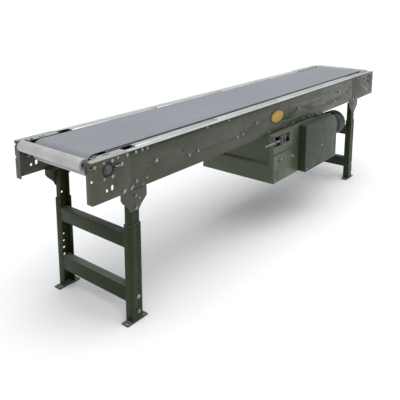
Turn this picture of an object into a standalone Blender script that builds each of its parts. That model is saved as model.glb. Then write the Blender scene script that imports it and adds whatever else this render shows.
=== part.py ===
"""Slider-bed belt conveyor section with an underslung centre drive, pop-out end rollers and two floor supports.

Units are metres and +Z is up. X runs along the belt from the infeed end (-X) to the outfeed end (+X), and the
chain-guard side, called front, is at -Y. The floor is z = 0. Distances named "at" are measured along X from the
infeed end of the frame. Heights are measured from the floor.
"""

import math

import bmesh
import bpy
from mathutils import Matrix, Vector

# Frame
LENGTH = 2.712
WIDTH = 0.486
TOP = 0.744
DEPTH = 0.165
SHEET = 0.003
GAP = 0.0003
GUARD_Y = 0.329
SHAFT_PROUD = 0.0015
BED_Y = (GUARD_Y - WIDTH / 2 - SHAFT_PROUD) / 2
BOTTOM = TOP - DEPTH
FRONT = -1
REAR = 1
SIDES = (("front", FRONT), ("rear", REAR))
INFEED_JOINT = 0.190
OUTFEED_JOINT = 2.336
TONGUE = 0.112
CHANNEL_TOP_FLANGE = 0.026
CHANNEL_BOTTOM_FLANGE = 0.038
BRACKET_TOP_FLANGE = 0.054
END_FLANGE = 0.033
SEAT_FRONT = 0.0045
SEAT_BACK = 0.030
SEAT_DEPTH = 0.030
NOTCH_BACK = 0.036
STEP_LENGTH = 0.045
TONGUE_DROP = 0.005
BRACKET_HOLES = ((0.072, 0.619), (0.098, 0.625))
BRACKET_HOLE_R = 0.006
CORNER_HOLES_Z = (0.7265, 0.672)
CORNER_HOLE = 0.0095
PAN_HALF = 0.1765
PAN_SKIRT = 0.034
CROSS_MEMBER_HALF = 0.020
CROSS_MEMBER_DEPTH = 0.036
CROSS_MEMBERS_AT = (0.507, 1.055, 1.570, 2.127)
STRIP_ENDS_AT = (0.253, 2.334)
STRIP_REACH = 0.060
STRIP_CLEAR = 0.0028
STRIP_RISE = 0.0015
STRIP_SKIRT = 0.0325
STRIP_SHEET = 0.002

# Belt and pulleys
BELT_WIDTH = 0.334
BELT = 0.003
BELT_GAP = 0.0006
BELT_TOP = 0.7475
FACE = 0.178
END_PULLEY_R = 0.0445
END_PULLEY_AT = 0.080
DRIVE_R = 0.1016
DRIVE_AT = 1.600
DRIVE_Z = 0.440
TAKE_UP_R = 0.0508
TAKE_UP_AT = 1.300
SNUB_R = 0.0254
SNUB_IN_AT = 1.450
SNUB_OUT_AT = 1.700
RETURN_R = 0.0241
RETURN_AT = (0.563, 2.059)
SHAFT_R = 0.0151
DRIVE_SHAFT_R = 0.0175
IDLER_SHAFT_R = 0.0056
IDLER_FACE = 0.190
BEARING_R = 0.0300
BEARING_FLANGE_R = 0.0360
BEARING_OPENING_R = 0.0320
BEARING_DEPTH = 0.012
BEARING_PROUD = 0.001
ARC_STEP = math.radians(10)

# Pop-out rollers at both ends
POP_R = 0.0241
POP_FACE = 0.195
POP_SHAFT_R = 0.0055
POP_SLOT = 0.0122
POP_TOP = 0.7515
POP_REACH = 0.219

# Drive unit
DRIVE_START = 1.2195
DRIVE_BOTTOM = 0.307
PAN_END = 1.745
PLATE_END = 1.915
PLATE_FRONT_Y = -0.281
PLATE_REAR_Y = 0.199
LIP_TOP = 0.410
WINDOW = (1.232, 1.392)
WINDOW_HALF = 0.0270
HUB_R = 0.040
HUB_DEPTH = 0.009
TAB_FRONT = 0.208
TAB_REAR = 0.238
CORNER_DEPTH = 0.028
ANCHOR = 0.012
BLOCK_HALF = 0.028
BLOCK_IN = 0.009
BLOCK_OUT = 0.014
TAKE_UP_PROUD = 0.0105
SCREW_START = 1.125
SCREW_OUT = 0.007
SCREW_R = 0.0048
SCREW_HOLE_R = 0.0055
PANEL_SETBACK = 0.0155
GUARD_START = 1.501
GUARD_TOP = 0.588
GUARD_SHEET = 0.002
GUARD_WIDE_CORNER = 0.080
GUARD_SMALL_CORNER = 0.012
SPROCKET_Y = -0.305
SPROCKET_W = 0.008
CHAIN_PITCH = 0.015875
DRIVE_TEETH = 24
REDUCER_TEETH = 15
CHAIN_HALF = 0.008
CHAIN_PLATE_HALF = 0.0050
CHAIN_CLEAR = 0.0065
SHAFT_END = 0.003
REDUCER_AT = 1.825
REDUCER_Z = 0.510
WORM_DROP = 0.066
CASING_R = 0.062
CASING_HALF = 0.075
WHEEL_ROOM_R = 0.052
OUTPUT_R = 0.0125
OUTPUT_HOLE_R = 0.0160
WHEEL_R = 0.0470
WHEEL_THROAT = 0.0015
WHEEL_HALF = 0.016
FLANGE_R = 0.078
MOTOR_Y = -0.170
MOTOR_R = 0.083
MOTOR_AT = (1.9175, 2.172)
FAN_END_AT = 2.240
MOTOR_SHAFT_R = 0.012
MOTOR_ROOM_R = 0.072
ROTOR_R = 0.0500
WORM_R = 0.0180
FAN_COVER_R = 0.080
FAN_SHEET = 0.002
FAN_BORE_R = 0.0090
FAN_REACH = 0.066
VENT_R = 0.009
VENT_CIRCLE = 0.045
BOX_AT = (2.035, 2.150)
BOX_HALF = 0.045
BOX_DEPTH = 0.042
BASE_BOTTOM = 0.5735
PLATE_CENTRE = (1.313, 0.667)
PLATE_HALF = (0.072, 0.0415)
PLATE_THICK = 0.003

# Floor supports
SUPPORTS = (("infeed", 0.2155), ("outfeed", 2.3765))
PIVOT_Z = 0.503
UPPER_LEG_WIDTH = 0.054
UPPER_LEG_Z = (0.215, 0.560)
LOWER_LEG_WIDTH = 0.063
LOWER_LEG_TOP = 0.433
LEG_FLANGE = 0.038
UPPER_LEG_FLANGE = 0.032
CROSSBARS_Z = ((0.090, 0.158), (0.329, 0.392))
CROSSBAR_FLANGE = 0.040
FOOT = (0.118, 0.038, 0.006)
LEG_HOLE_TOP = 0.416
LEG_HOLE_PITCH = 0.0342
LEG_HOLES = 9
LEG_HOLE_R = 0.0055
LEG_HOLE_OFFSET = 0.004
PIVOT_TAB = 0.036
PIVOT_OUTLINE = (
    (-0.0765, 0.0), (-0.0765, -0.024), (-0.0665, -0.040), (-0.034, -0.070), (-0.027, -0.088),
    (0.021, -0.088), (0.036, -0.068), (0.0665, -0.040), (0.0665, 0.0),
)

PAINT = ((0.072, 0.085, 0.056), 0.42, 0.0)
DARK_PAINT = ((0.060, 0.070, 0.048), 0.45, 0.0)
BELT_PVC = ((0.050, 0.052, 0.060), 0.45, 0.0)
STEEL = ((0.60, 0.60, 0.60), 0.30, 1.0)
ZINC = ((0.66, 0.67, 0.70), 0.35, 1.0)
CAST = ((0.10, 0.11, 0.10), 0.55, 0.4)
BLACK = ((0.02, 0.02, 0.02), 0.50, 0.0)
LAGGING = ((0.025, 0.025, 0.025), 0.75, 0.0)
BRASS = ((0.55, 0.38, 0.12), 0.35, 1.0)

parts = None
cutters = None


def clear_scene():
    global parts, cutters
    for obj in list(bpy.data.objects):
        bpy.data.objects.remove(obj, do_unlink=True)
    parts = bpy.data.collections.new("belt_conveyor_section")
    cutters = bpy.data.collections.new("cutters")
    bpy.context.scene.collection.children.link(parts)
    bpy.context.scene.collection.children.link(cutters)


def x_of(at):
    """World X of a distance along the frame."""
    return at - LENGTH / 2


def y_of(across):
    """World Y of a distance from the bed's centre line."""
    return across + BED_Y


def material(name, look):
    color, roughness, metallic = look
    made = bpy.data.materials.new(name)
    made.use_nodes = True
    shader = made.node_tree.nodes["Principled BSDF"]
    shader.inputs["Base Color"].default_value = (*color, 1.0)
    shader.inputs["Roughness"].default_value = roughness
    shader.inputs["Metallic"].default_value = metallic
    return made


def add(name, mesh, look, collection=None):
    obj = bpy.data.objects.new(name, mesh)
    (collection or parts).objects.link(obj)
    if look:
        mesh.materials.append(material(name + "_material", look))
    return obj


def as_helper(obj):
    """Keeps a cutter or a joined piece out of the part itself."""
    for collection in list(obj.users_collection):
        collection.objects.unlink(obj)
    cutters.objects.link(obj)
    obj.hide_render = True
    obj.display_type = "WIRE"
    return obj


def boolean(obj, others, operation):
    for other in others:
        modifier = obj.modifiers.new(operation.lower(), "BOOLEAN")
        modifier.operation = operation
        modifier.solver = "EXACT"
        modifier.object = as_helper(other)
    return obj


def cut(obj, *others):
    return boolean(obj, others, "DIFFERENCE")


def join(obj, *others):
    return boolean(obj, others, "UNION")


def box(name, low, high, look=None):
    """A box between two corners, given as distance along, distance across and height."""
    bm = bmesh.new()
    bmesh.ops.create_cube(bm, size=1.0)
    size = [b - a for a, b in zip(low, high)]
    centre = [(a + b) / 2 for a, b in zip(low, high)]
    bmesh.ops.scale(bm, vec=size, verts=bm.verts)
    bmesh.ops.translate(bm, vec=(x_of(centre[0]), y_of(centre[1]), centre[2]), verts=bm.verts)
    mesh = bpy.data.meshes.new(name)
    bm.to_mesh(mesh)
    bm.free()
    return add(name, mesh, look)


def rod(name, axis, radius, start, end, at, look=None, sides=24):
    """A round bar along X or Y. at holds its other two coordinates: (across, height) or (along, height)."""
    bm = bmesh.new()
    bmesh.ops.create_cone(
        bm, cap_ends=True, segments=sides, radius1=radius, radius2=radius, depth=end - start
    )
    middle = (start + end) / 2
    if axis == "X":
        turn = Matrix.Rotation(math.pi / 2, 4, "Y")
        place = (x_of(middle), y_of(at[0]), at[1])
    else:
        turn = Matrix.Rotation(-math.pi / 2, 4, "X")
        place = (x_of(at[0]), y_of(middle), at[1])
    bmesh.ops.transform(bm, matrix=Matrix.Translation(place) @ turn, verts=bm.verts)
    mesh = bpy.data.meshes.new(name)
    bm.to_mesh(mesh)
    bm.free()
    return add(name, mesh, look)


def extruded(name, outlines, plane, start, end, look=None):
    """Closed outlines filled as one flat shape and run from start to end across their plane.

    Plane YZ takes (across, height) points and runs along X, XZ takes (along, height) and runs along Y, and XY
    takes (along, across) and runs along Z. An outline inside another is a hole.
    """
    curve = bpy.data.curves.new(name, "CURVE")
    curve.dimensions = "2D"
    curve.fill_mode = "BOTH"
    curve.extrude = (end - start) / 2
    for outline in outlines:
        spline = curve.splines.new("POLY")
        spline.points.add(len(outline) - 1)
        spline.use_cyclic_u = True
        for point, (u, v) in zip(spline.points, outline):
            point.co = (u, v, 0.0, 1.0)
    source = bpy.data.objects.new(name + "_outline", curve)
    bpy.context.scene.collection.objects.link(source)
    graph = bpy.context.evaluated_depsgraph_get()
    mesh = bpy.data.meshes.new_from_object(source.evaluated_get(graph))
    bpy.data.objects.remove(source, do_unlink=True)
    bpy.data.curves.remove(curve)
    middle = (start + end) / 2
    offset = Vector((x_of(0.0), y_of(0.0), 0.0))
    if plane == "YZ":
        turn = Matrix(((0, 0, 1, 0), (1, 0, 0, 0), (0, 1, 0, 0), (0, 0, 0, 1)))
        offset += Vector((middle, 0, 0))
    elif plane == "XZ":
        turn = Matrix(((1, 0, 0, 0), (0, 0, -1, 0), (0, 1, 0, 0), (0, 0, 0, 1)))
        offset += Vector((0, middle, 0))
    else:
        turn = Matrix.Identity(4)
        offset += Vector((0, 0, middle))
    mesh.transform(Matrix.Translation(offset) @ turn)
    bm = bmesh.new()
    bm.from_mesh(mesh)
    bmesh.ops.remove_doubles(bm, verts=bm.verts, dist=0.00001)
    bmesh.ops.recalc_face_normals(bm, faces=bm.faces)
    bm.to_mesh(mesh)
    bm.free()
    mesh.name = name
    return add(name, mesh, look)


def turned(name, profile, axis, place, look, steps=32):
    """A Screw modifier turns (radius, distance along the axis) points, listed from the far end to the near end."""
    mesh = bpy.data.meshes.new(name)
    mesh.from_pydata([(r, 0.0, z) for r, z in profile], [(i, i + 1) for i in range(len(profile) - 1)], [])
    obj = add(name, mesh, look)
    screw = obj.modifiers.new("turn", "SCREW")
    screw.axis = "Z"
    screw.steps = steps
    screw.render_steps = steps
    screw.use_merge_vertices = True
    screw.merge_threshold = 0.00002
    screw.use_smooth_shade = True
    along, across, height = place
    obj.location = (x_of(along), y_of(across), height)
    obj.rotation_euler = (-math.pi / 2, 0, 0) if axis == "Y" else (0, math.pi / 2, 0)
    return obj


def arc(centre, radius, start, end, count):
    """Points on a circle, angles in degrees, both ends included."""
    points = []
    for i in range(count + 1):
        angle = math.radians(start + (end - start) * i / count)
        points.append((centre[0] + radius * math.cos(angle), centre[1] + radius * math.sin(angle)))
    return points


def circle(centre, radius, sides=12):
    return arc(centre, radius, 0, 360 - 360 / sides, sides - 1)


def wrapped_loop(wheels, offset):
    """A closed loop round wheels of (along, height, radius, turn), where turn is 1 clockwise and -1 the other way.

    It is worked out from the tangent lines between neighbours, and offset moves it to the left of its travel.
    """
    headings = []
    for i, (ax, az, ar, aturn) in enumerate(wheels):
        bx, bz, br, bturn = wheels[(i + 1) % len(wheels)]
        slope = math.atan2(bz - az, bx - ax)
        lean = math.asin((bturn * br - aturn * ar) / math.hypot(bx - ax, bz - az))
        headings.append(slope + lean)
    points = []
    for i, (x, z, radius, turn) in enumerate(wheels):
        arrive = headings[i - 1]
        sweep = (turn * (arrive - headings[i])) % (2 * math.pi)
        count = max(1, round(sweep / ARC_STEP))
        for k in range(count + 1):
            angle = arrive - turn * sweep * k / count + turn * math.pi / 2
            reach = radius + turn * offset
            points.append((x + reach * math.cos(angle), z + reach * math.sin(angle)))
    return points


def mirrored_at(at, outfeed):
    """The same distance measured from the outfeed end when outfeed is true."""
    return LENGTH - at if outfeed else at


def end_box(name, outfeed, low, high, look=None):
    """A box whose distances along are measured from the end it belongs to."""
    a = mirrored_at(low[0], outfeed)
    b = mirrored_at(high[0], outfeed)
    return box(name, (min(a, b), low[1], low[2]), (max(a, b), high[1], high[2]), look)


def side_box(name, side, start, end, inner, outer, bottom, top, look=None):
    """A box at one side of the bed. inner and outer are distances from the centre line."""
    a, b = side * inner, side * outer
    return box(name, (start, min(a, b), bottom), (end, max(a, b), top), look)


BELT_RADII = BELT / 2 + BELT_GAP
END_AXIS_Z = BELT_TOP - BELT / 2 - END_PULLEY_R - BELT_RADII
RETURN_Z = END_AXIS_Z - END_PULLEY_R - BELT_RADII
RETURN_AXIS_Z = RETURN_Z - BELT_RADII - RETURN_R
SNUB_Z = RETURN_Z - BELT_RADII - SNUB_R
TAKE_UP_Z = SNUB_Z - SNUB_R - TAKE_UP_R - 2 * BELT_RADII
HEAD_AT = LENGTH - END_PULLEY_AT
POP_AT = END_PULLEY_AT - END_PULLEY_R - BELT_GAP - BELT - 0.0025 - POP_R
POP_Z = POP_TOP - POP_R
MOTOR_Z = REDUCER_Z - WORM_DROP
WEB = WIDTH / 2


# Bed frame


def channel_outline(side):
    """The bed's side channel in section: an outer web with both flanges turned inwards."""
    inner = WEB - SHEET
    return [
        (side * WEB, BOTTOM),
        (side * WEB, TOP),
        (side * (WEB - CHANNEL_TOP_FLANGE), TOP),
        (side * (WEB - CHANNEL_TOP_FLANGE), TOP - SHEET),
        (side * inner, TOP - SHEET),
        (side * inner, BOTTOM + SHEET),
        (side * (WEB - CHANNEL_BOTTOM_FLANGE), BOTTOM + SHEET),
        (side * (WEB - CHANNEL_BOTTOM_FLANGE), BOTTOM),
    ]


def side_channels():
    start, end = INFEED_JOINT + GAP, OUTFEED_JOINT - GAP
    for word, side in SIDES:
        extruded("side_channel_" + word, [channel_outline(side)], "YZ", start, end, PAINT)


def end_bracket(end, word, side):
    """An end bracket: web, top flange notched for the roller and the belt, end flange, roller seat and tongue."""
    outfeed = end == "outfeed"
    length = LENGTH - OUTFEED_JOINT if outfeed else INFEED_JOINT
    name = end + "_bracket_" + word

    def piece(low_at, high_at, inner, outer, bottom, top, label):
        a, b = side * inner, side * outer
        return end_box(name + label, outfeed, (low_at, min(a, b), bottom), (high_at, max(a, b), top))

    web = piece(0, length - GAP, WEB - SHEET, WEB, BOTTOM, TOP, "")
    web.data.materials.append(material(name + "_material", PAINT))
    top = piece(0, length - GAP, WEB - BRACKET_TOP_FLANGE, WEB - 0.001, TOP - SHEET, TOP, "_top")
    end_flange = piece(0, SHEET, WEB - END_FLANGE, WEB - 0.001, BOTTOM, TOP - 0.001, "_end")
    seat = piece(
        -SEAT_FRONT, SEAT_BACK, WEB - END_FLANGE, WEB - END_FLANGE + SHEET, POP_Z - SEAT_DEPTH, TOP, "_seat"
    )
    low, back = BOTTOM + TONGUE_DROP, WEB - 2 * SHEET - GAP
    step = piece(length - STEP_LENGTH, length - GAP, back, WEB - SHEET / 2, low, TOP - SHEET - GAP, "_step")
    tongue = piece(
        length - STEP_LENGTH / 2, length + TONGUE, back, WEB - SHEET - GAP, low, TOP - TONGUE_DROP, "_tongue"
    )
    join(web, top, end_flange, seat, step, tongue)
    notch = piece(-0.02, NOTCH_BACK, 0.10, WEB - END_FLANGE - 0.001, TOP - 0.01, TOP + 0.01, "_notch")
    trim = piece(
        SEAT_BACK - 0.0005, NOTCH_BACK, 0.20, WEB - END_FLANGE + SHEET + 0.001, TOP - 0.01, TOP + 0.01, "_trim"
    )
    slot = piece(
        POP_AT - POP_SLOT / 2, POP_AT + POP_SLOT / 2, WEB - END_FLANGE - 0.004, POP_REACH + 0.001,
        POP_Z - POP_SHAFT_R - GAP, TOP + 0.01, "_slot",
    )
    bore = rod(
        name + "_bore", "Y", BEARING_OPENING_R, side * WEB - 0.02, side * WEB + 0.02,
        (mirrored_at(END_PULLEY_AT, outfeed), END_AXIS_Z),
    )
    cut(web, notch, trim, slot, bore)
    for at, height in BRACKET_HOLES:
        hole = rod(
            f"{name}_hole_{at}", "Y", BRACKET_HOLE_R, side * WEB - 0.02, side * WEB + 0.02,
            (mirrored_at(at, outfeed), height), sides=10,
        )
        cut(web, hole)
    for height in CORNER_HOLES_Z:
        half = CORNER_HOLE / 2
        hole = piece(-0.01, half, WEB - CORNER_HOLE, WEB + 0.01, height - half, height + half, f"_corner_{height}")
        cut(web, hole)
    return web


def end_brackets():
    for end in ("infeed", "outfeed"):
        for word, side in SIDES:
            end_bracket(end, word, side)


def slider_pan():
    """The bed that the belt slides on: a flat top with both edges turned down."""
    half, skirt = PAN_HALF, PAN_SKIRT
    top = BELT_TOP - BELT - GAP
    outline = [
        (-half, top), (half, top), (half, top - skirt), (half - SHEET, top - skirt),
        (half - SHEET, top - SHEET), (SHEET - half, top - SHEET), (SHEET - half, top - skirt), (-half, top - skirt),
    ]
    start = END_PULLEY_AT + END_PULLEY_R + 0.006
    extruded("slider_pan", [outline], "YZ", start, LENGTH - start, STEEL)


def cross_members():
    """Channels bolted between the webs that carry the pan. They sit just below its skirts."""
    top = BELT_TOP - BELT - GAP - PAN_SKIRT - GAP
    low, half = top - CROSS_MEMBER_DEPTH, CROSS_MEMBER_HALF
    inner = half - SHEET
    for number, at in enumerate(CROSS_MEMBERS_AT, 1):
        outline = [
            (at - half, top), (at + half, top), (at + half, low), (at + inner, low), (at + inner, top - SHEET),
            (at - inner, top - SHEET), (at - inner, low), (at - half, low),
        ]
        reach = WEB - SHEET - GAP
        extruded(f"cross_member_{number}", [outline], "XZ", -reach, reach, PAINT)


def edge_strips():
    """Long strips beside the belt that close the space between the pan and the side channel."""
    outer, inner = WEB - CHANNEL_TOP_FLANGE - STRIP_CLEAR, WEB - STRIP_REACH
    top, bottom, sheet = TOP + STRIP_RISE, TOP - STRIP_SKIRT, STRIP_SHEET
    for word, side in SIDES:
        outline = [
            (side * outer, bottom), (side * outer, top), (side * inner, top), (side * inner, bottom),
            (side * (inner + sheet), bottom), (side * (inner + sheet), top - sheet),
            (side * (outer - sheet), top - sheet), (side * (outer - sheet), bottom),
        ]
        extruded("edge_strip_" + word, [outline], "YZ", *STRIP_ENDS_AT, ZINC)


# Belt and the pulleys that it runs over


def belt_wheels():
    """The wheels that the belt passes, in the order of its travel, with the radius of its middle line."""
    return [
        (END_PULLEY_AT, END_AXIS_Z, END_PULLEY_R + BELT_RADII, 1),
        (HEAD_AT, END_AXIS_Z, END_PULLEY_R + BELT_RADII, 1),
        (SNUB_OUT_AT, SNUB_Z, SNUB_R + BELT_RADII, -1),
        (DRIVE_AT, DRIVE_Z, DRIVE_R + BELT_RADII, 1),
        (TAKE_UP_AT, TAKE_UP_Z, TAKE_UP_R + BELT_RADII, 1),
        (SNUB_IN_AT, SNUB_Z, SNUB_R + BELT_RADII, -1),
    ]


def conveyor_belt():
    wheels = belt_wheels()
    outlines = [wrapped_loop(wheels, BELT / 2), wrapped_loop(wheels, -BELT / 2)]
    extruded("conveyor_belt", outlines, "XZ", -BELT_WIDTH / 2, BELT_WIDTH / 2, BELT_PVC)


def pulley(name, at, height, radius, shaft, front, rear, look, steps=20):
    """A crowned pulley on its own shaft, which runs from -front to rear. Its tube is open to a centre disc."""
    rim, hub, dish, crown = 0.006, shaft + 0.012, FACE - 0.010, 0.0004
    profile = [
        (0.0, rear), (shaft, rear), (shaft, FACE), (hub, FACE), (hub, FACE - dish), (radius - rim, FACE - dish),
        (radius - rim, FACE), (radius - crown, FACE), (radius, 0.0), (radius - crown, -FACE),
        (radius - rim, -FACE), (radius - rim, dish - FACE), (hub, dish - FACE),
        (hub, -FACE), (shaft, -FACE), (shaft, -front), (0.0, -front),
    ]
    return turned(name, profile, "Y", (at, 0, height), look, steps)


def idler(name, at, height, radius):
    """A plain return or snub roller on a thin shaft that reaches both webs. Its tube is open to a centre disc."""
    reach, face = WEB - SHEET - GAP, IDLER_FACE
    rim, disc = radius - 0.003, 0.006
    profile = [
        (0.0, reach), (IDLER_SHAFT_R, reach), (IDLER_SHAFT_R, disc), (rim, disc), (rim, face), (radius, face),
        (radius, -face), (rim, -face), (rim, -disc), (IDLER_SHAFT_R, -disc), (IDLER_SHAFT_R, -reach), (0.0, -reach),
    ]
    return turned(name, profile, "Y", (at, 0, height), STEEL, 16)


def pulleys():
    for name, at in (("tail_pulley", END_PULLEY_AT), ("head_pulley", HEAD_AT)):
        pulley(name, at, END_AXIS_Z, END_PULLEY_R, SHAFT_R, WEB + SHAFT_PROUD, WEB + SHAFT_PROUD, STEEL)
    pulley(
        "drive_pulley", DRIVE_AT, DRIVE_Z, DRIVE_R, DRIVE_SHAFT_R, SPROCKET_W / 2 + SHAFT_END - SPROCKET_Y,
        PLATE_REAR_Y + 0.012, LAGGING, 28,
    )
    pulley(
        "take_up_pulley", TAKE_UP_AT, TAKE_UP_Z, TAKE_UP_R, SHAFT_R, TAKE_UP_PROUD - PLATE_FRONT_Y,
        PLATE_REAR_Y + SHEET + TAKE_UP_PROUD, STEEL,
    )
    idler("snub_idler_infeed", SNUB_IN_AT, SNUB_Z, SNUB_R)
    idler("snub_idler_outfeed", SNUB_OUT_AT, SNUB_Z, SNUB_R)
    for end, at in zip(("infeed", "outfeed"), RETURN_AT):
        idler("return_roller_" + end, at, RETURN_AXIS_Z, RETURN_R)


def end_bearings():
    """Flanged bearings against the inside of the bracket webs, with a boss through the web's opening."""
    for pulley_name, outfeed in (("tail", False), ("head", True)):
        at = mirrored_at(END_PULLEY_AT, outfeed)
        for word, side in SIDES:
            inner = WEB - SHEET - GAP
            bore = SHAFT_R + GAP
            ends = sorted((side * (WEB + BEARING_PROUD), side * (inner - BEARING_DEPTH)), reverse=True)
            step = side * inner
            outer_r, inner_r = (BEARING_R, BEARING_FLANGE_R) if side == REAR else (BEARING_FLANGE_R, BEARING_R)
            profile = [
                (bore, ends[0]), (outer_r, ends[0]), (outer_r, step), (inner_r, step), (inner_r, ends[1]),
                (bore, ends[1]), (bore, ends[0]),
            ]
            turned(f"{pulley_name}_bearing_{word}", profile, "Y", (at, 0, END_AXIS_Z), CAST, 20)


def pop_out_rollers():
    """Safety rollers that lift out of open slots in the end brackets."""
    for end, outfeed in (("infeed", False), ("outfeed", True)):
        at = mirrored_at(POP_AT, outfeed)
        bore, rim, cap = POP_SHAFT_R + 0.0006, POP_R - 0.002, POP_FACE - 0.012
        tube = [
            (bore, POP_FACE), (POP_R - 0.001, POP_FACE), (POP_R, POP_FACE - 0.002), (POP_R, 0.002 - POP_FACE),
            (POP_R - 0.001, -POP_FACE), (bore, -POP_FACE), (bore, -cap), (rim, -cap), (rim, cap), (bore, cap),
            (bore, POP_FACE),
        ]
        turned("pop_out_roller_" + end, tube, "Y", (at, 0, POP_Z), STEEL, 20)
        shaft = [(0.0, POP_REACH), (POP_SHAFT_R, POP_REACH), (POP_SHAFT_R, -POP_REACH), (0.0, -POP_REACH)]
        turned("pop_out_shaft_" + end, shaft, "Y", (at, 0, POP_Z), ZINC, 12)


# Drive unit under the bed


def drive_side_plates():
    """Plates that hang under the side channels and hold the drive pulley's bearings and the take-up slides."""
    top = BOTTOM - GAP
    window_bottom, window_top = TAKE_UP_Z - WINDOW_HALF, TAKE_UP_Z + WINDOW_HALF
    for word, side, y, end in (("front", FRONT, -PLATE_FRONT_Y, PLATE_END), ("rear", REAR, PLATE_REAR_Y, PAN_END)):
        name = "drive_side_plate_" + word
        outer = y if side == FRONT else y + SHEET
        inner = outer - SHEET
        plate = side_box(name, side, DRIVE_START, end, inner, outer, DRIVE_BOTTOM, top, PAINT)
        tab_inner, tab_outer = (TAB_FRONT, inner + 0.001) if side == FRONT else (inner + 0.001, TAB_REAR)
        tab = side_box(name + "_tab", side, DRIVE_START, PAN_END, tab_inner, tab_outer, top - SHEET, top)
        hub = rod(
            name + "_hub", "Y", HUB_R, min(side * (inner - HUB_DEPTH), side * outer),
            max(side * (inner - HUB_DEPTH), side * outer), (DRIVE_AT, DRIVE_Z),
        )
        anchor = side_box(
            name + "_anchor", side, DRIVE_START, DRIVE_START + 0.008, inner + 0.001, outer + BLOCK_OUT,
            TAKE_UP_Z - ANCHOR, TAKE_UP_Z + ANCHOR,
        )
        join(plate, tab, hub, anchor)
        if side == FRONT:
            corner = side_box(
                name + "_corner", side, DRIVE_START, DRIVE_START + SHEET, outer - CORNER_DEPTH, outer - 0.001,
                LIP_TOP + GAP, top - 0.001,
            )
            join(plate, corner)
        window = side_box(
            name + "_window", side, *WINDOW, inner - 0.02, outer + 0.02, window_bottom, window_top
        )
        bore = rod(
            name + "_bore", "Y", DRIVE_SHAFT_R + GAP, side * outer - 0.03, side * outer + 0.03, (DRIVE_AT, DRIVE_Z)
        )
        screw = rod(
            name + "_screw_hole", "X", SCREW_HOLE_R, DRIVE_START - 0.01, DRIVE_START + 0.012,
            (side * (outer + SCREW_OUT), TAKE_UP_Z), sides=12,
        )
        cut(plate, window, bore, screw)
        if side == FRONT:
            opening = rod(
                name + "_reducer_hole", "Y", OUTPUT_HOLE_R, side * outer - 0.03, side * outer + 0.03,
                (REDUCER_AT, REDUCER_Z),
            )
            cut(plate, opening)


def take_ups():
    """The blocks that carry the take-up pulley's shaft in the side plates' windows, and their screws."""
    for word, side, y in (("front", FRONT, -PLATE_FRONT_Y), ("rear", REAR, PLATE_REAR_Y + SHEET)):
        name = "take_up_block_" + word
        half = WINDOW_HALF - GAP
        block = side_box(
            name, side, TAKE_UP_AT - BLOCK_HALF, TAKE_UP_AT + BLOCK_HALF, y - BLOCK_IN, y + BLOCK_OUT,
            TAKE_UP_Z - half, TAKE_UP_Z + half, CAST,
        )
        cut(block, rod(
            name + "_bore", "Y", SHAFT_R + GAP, side * y - 0.04, side * y + 0.04, (TAKE_UP_AT, TAKE_UP_Z)
        ))
        rod(
            "take_up_screw_" + word, "X", SCREW_R, SCREW_START, TAKE_UP_AT - BLOCK_HALF - GAP,
            (side * (y + SCREW_OUT), TAKE_UP_Z), ZINC, 12,
        )


def drive_belly_pan():
    """The cover under the drive: a floor with a lip at each end, and a set-back panel above the infeed lip."""
    front, rear = PLATE_FRONT_Y + SHEET + GAP, PLATE_REAR_Y - GAP
    floor, top = DRIVE_BOTTOM, BOTTOM - SHEET - 2 * GAP
    back = DRIVE_START + PANEL_SETBACK
    outline = [
        (DRIVE_START, floor), (PAN_END, floor), (PAN_END, LIP_TOP), (PAN_END - SHEET, LIP_TOP),
        (PAN_END - SHEET, floor + SHEET), (DRIVE_START + SHEET, floor + SHEET),
        (DRIVE_START + SHEET, LIP_TOP - SHEET), (back, LIP_TOP - SHEET), (back, top),
        (back - SHEET, top), (back - SHEET, LIP_TOP), (DRIVE_START, LIP_TOP),
    ]
    extruded("drive_belly_pan", [outline], "XZ", front, rear, PAINT)


def sprocket_outline(teeth, bore):
    """Short square teeth at the pitch circle, with the bore as an inner outline."""
    pitch = CHAIN_PITCH / 2 / math.sin(math.pi / teeth)
    tip, root = pitch - 0.0006, pitch - 0.0050
    points = []
    for tooth in range(teeth):
        for share, radius in ((-0.30, root), (-0.14, tip), (0.14, tip), (0.30, root)):
            angle = 2 * math.pi * (tooth + share) / teeth
            points.append((radius * math.cos(angle), radius * math.sin(angle)))
    return [points, circle((0, 0), bore, 20)]


def sprocket(name, teeth, at, height, bore):
    outlines = [
        [(at + u, height + v) for u, v in outline] for outline in sprocket_outline(teeth, bore)
    ]
    return extruded(name, outlines, "XZ", SPROCKET_Y - SPROCKET_W / 2, SPROCKET_Y + SPROCKET_W / 2, STEEL)


def chain_drive():
    sprocket("drive_sprocket", DRIVE_TEETH, DRIVE_AT, DRIVE_Z, DRIVE_SHAFT_R + GAP)
    sprocket("reducer_sprocket", REDUCER_TEETH, REDUCER_AT, REDUCER_Z, OUTPUT_R + GAP)
    radii = [CHAIN_PITCH / 2 / math.sin(math.pi / teeth) for teeth in (DRIVE_TEETH, REDUCER_TEETH)]
    wheels = [
        (DRIVE_AT, DRIVE_Z, radii[0] + CHAIN_CLEAR, 1),
        (REDUCER_AT, REDUCER_Z, radii[1] + CHAIN_CLEAR, 1),
    ]
    outlines = [wrapped_loop(wheels, CHAIN_PLATE_HALF), wrapped_loop(wheels, -CHAIN_PLATE_HALF)]
    extruded("drive_chain", outlines, "XZ", SPROCKET_Y - CHAIN_HALF, SPROCKET_Y + CHAIN_HALF, CAST)


def guard_outline(inset):
    """The chain guard's side view, with the upper outfeed corner rounded about the reducer's sprocket."""
    start, end = GUARD_START + inset, PLATE_END - inset
    bottom, top = DRIVE_BOTTOM - 0.001 + inset, GUARD_TOP - inset
    radius, small = GUARD_WIDE_CORNER - inset, GUARD_SMALL_CORNER
    corner = arc((end - radius, top - radius), radius, 0, 90, 8)
    near = arc((start + small, top - small), small, 90, 180, 3)
    return [(start, bottom), (end, bottom), *corner, *near]


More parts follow.
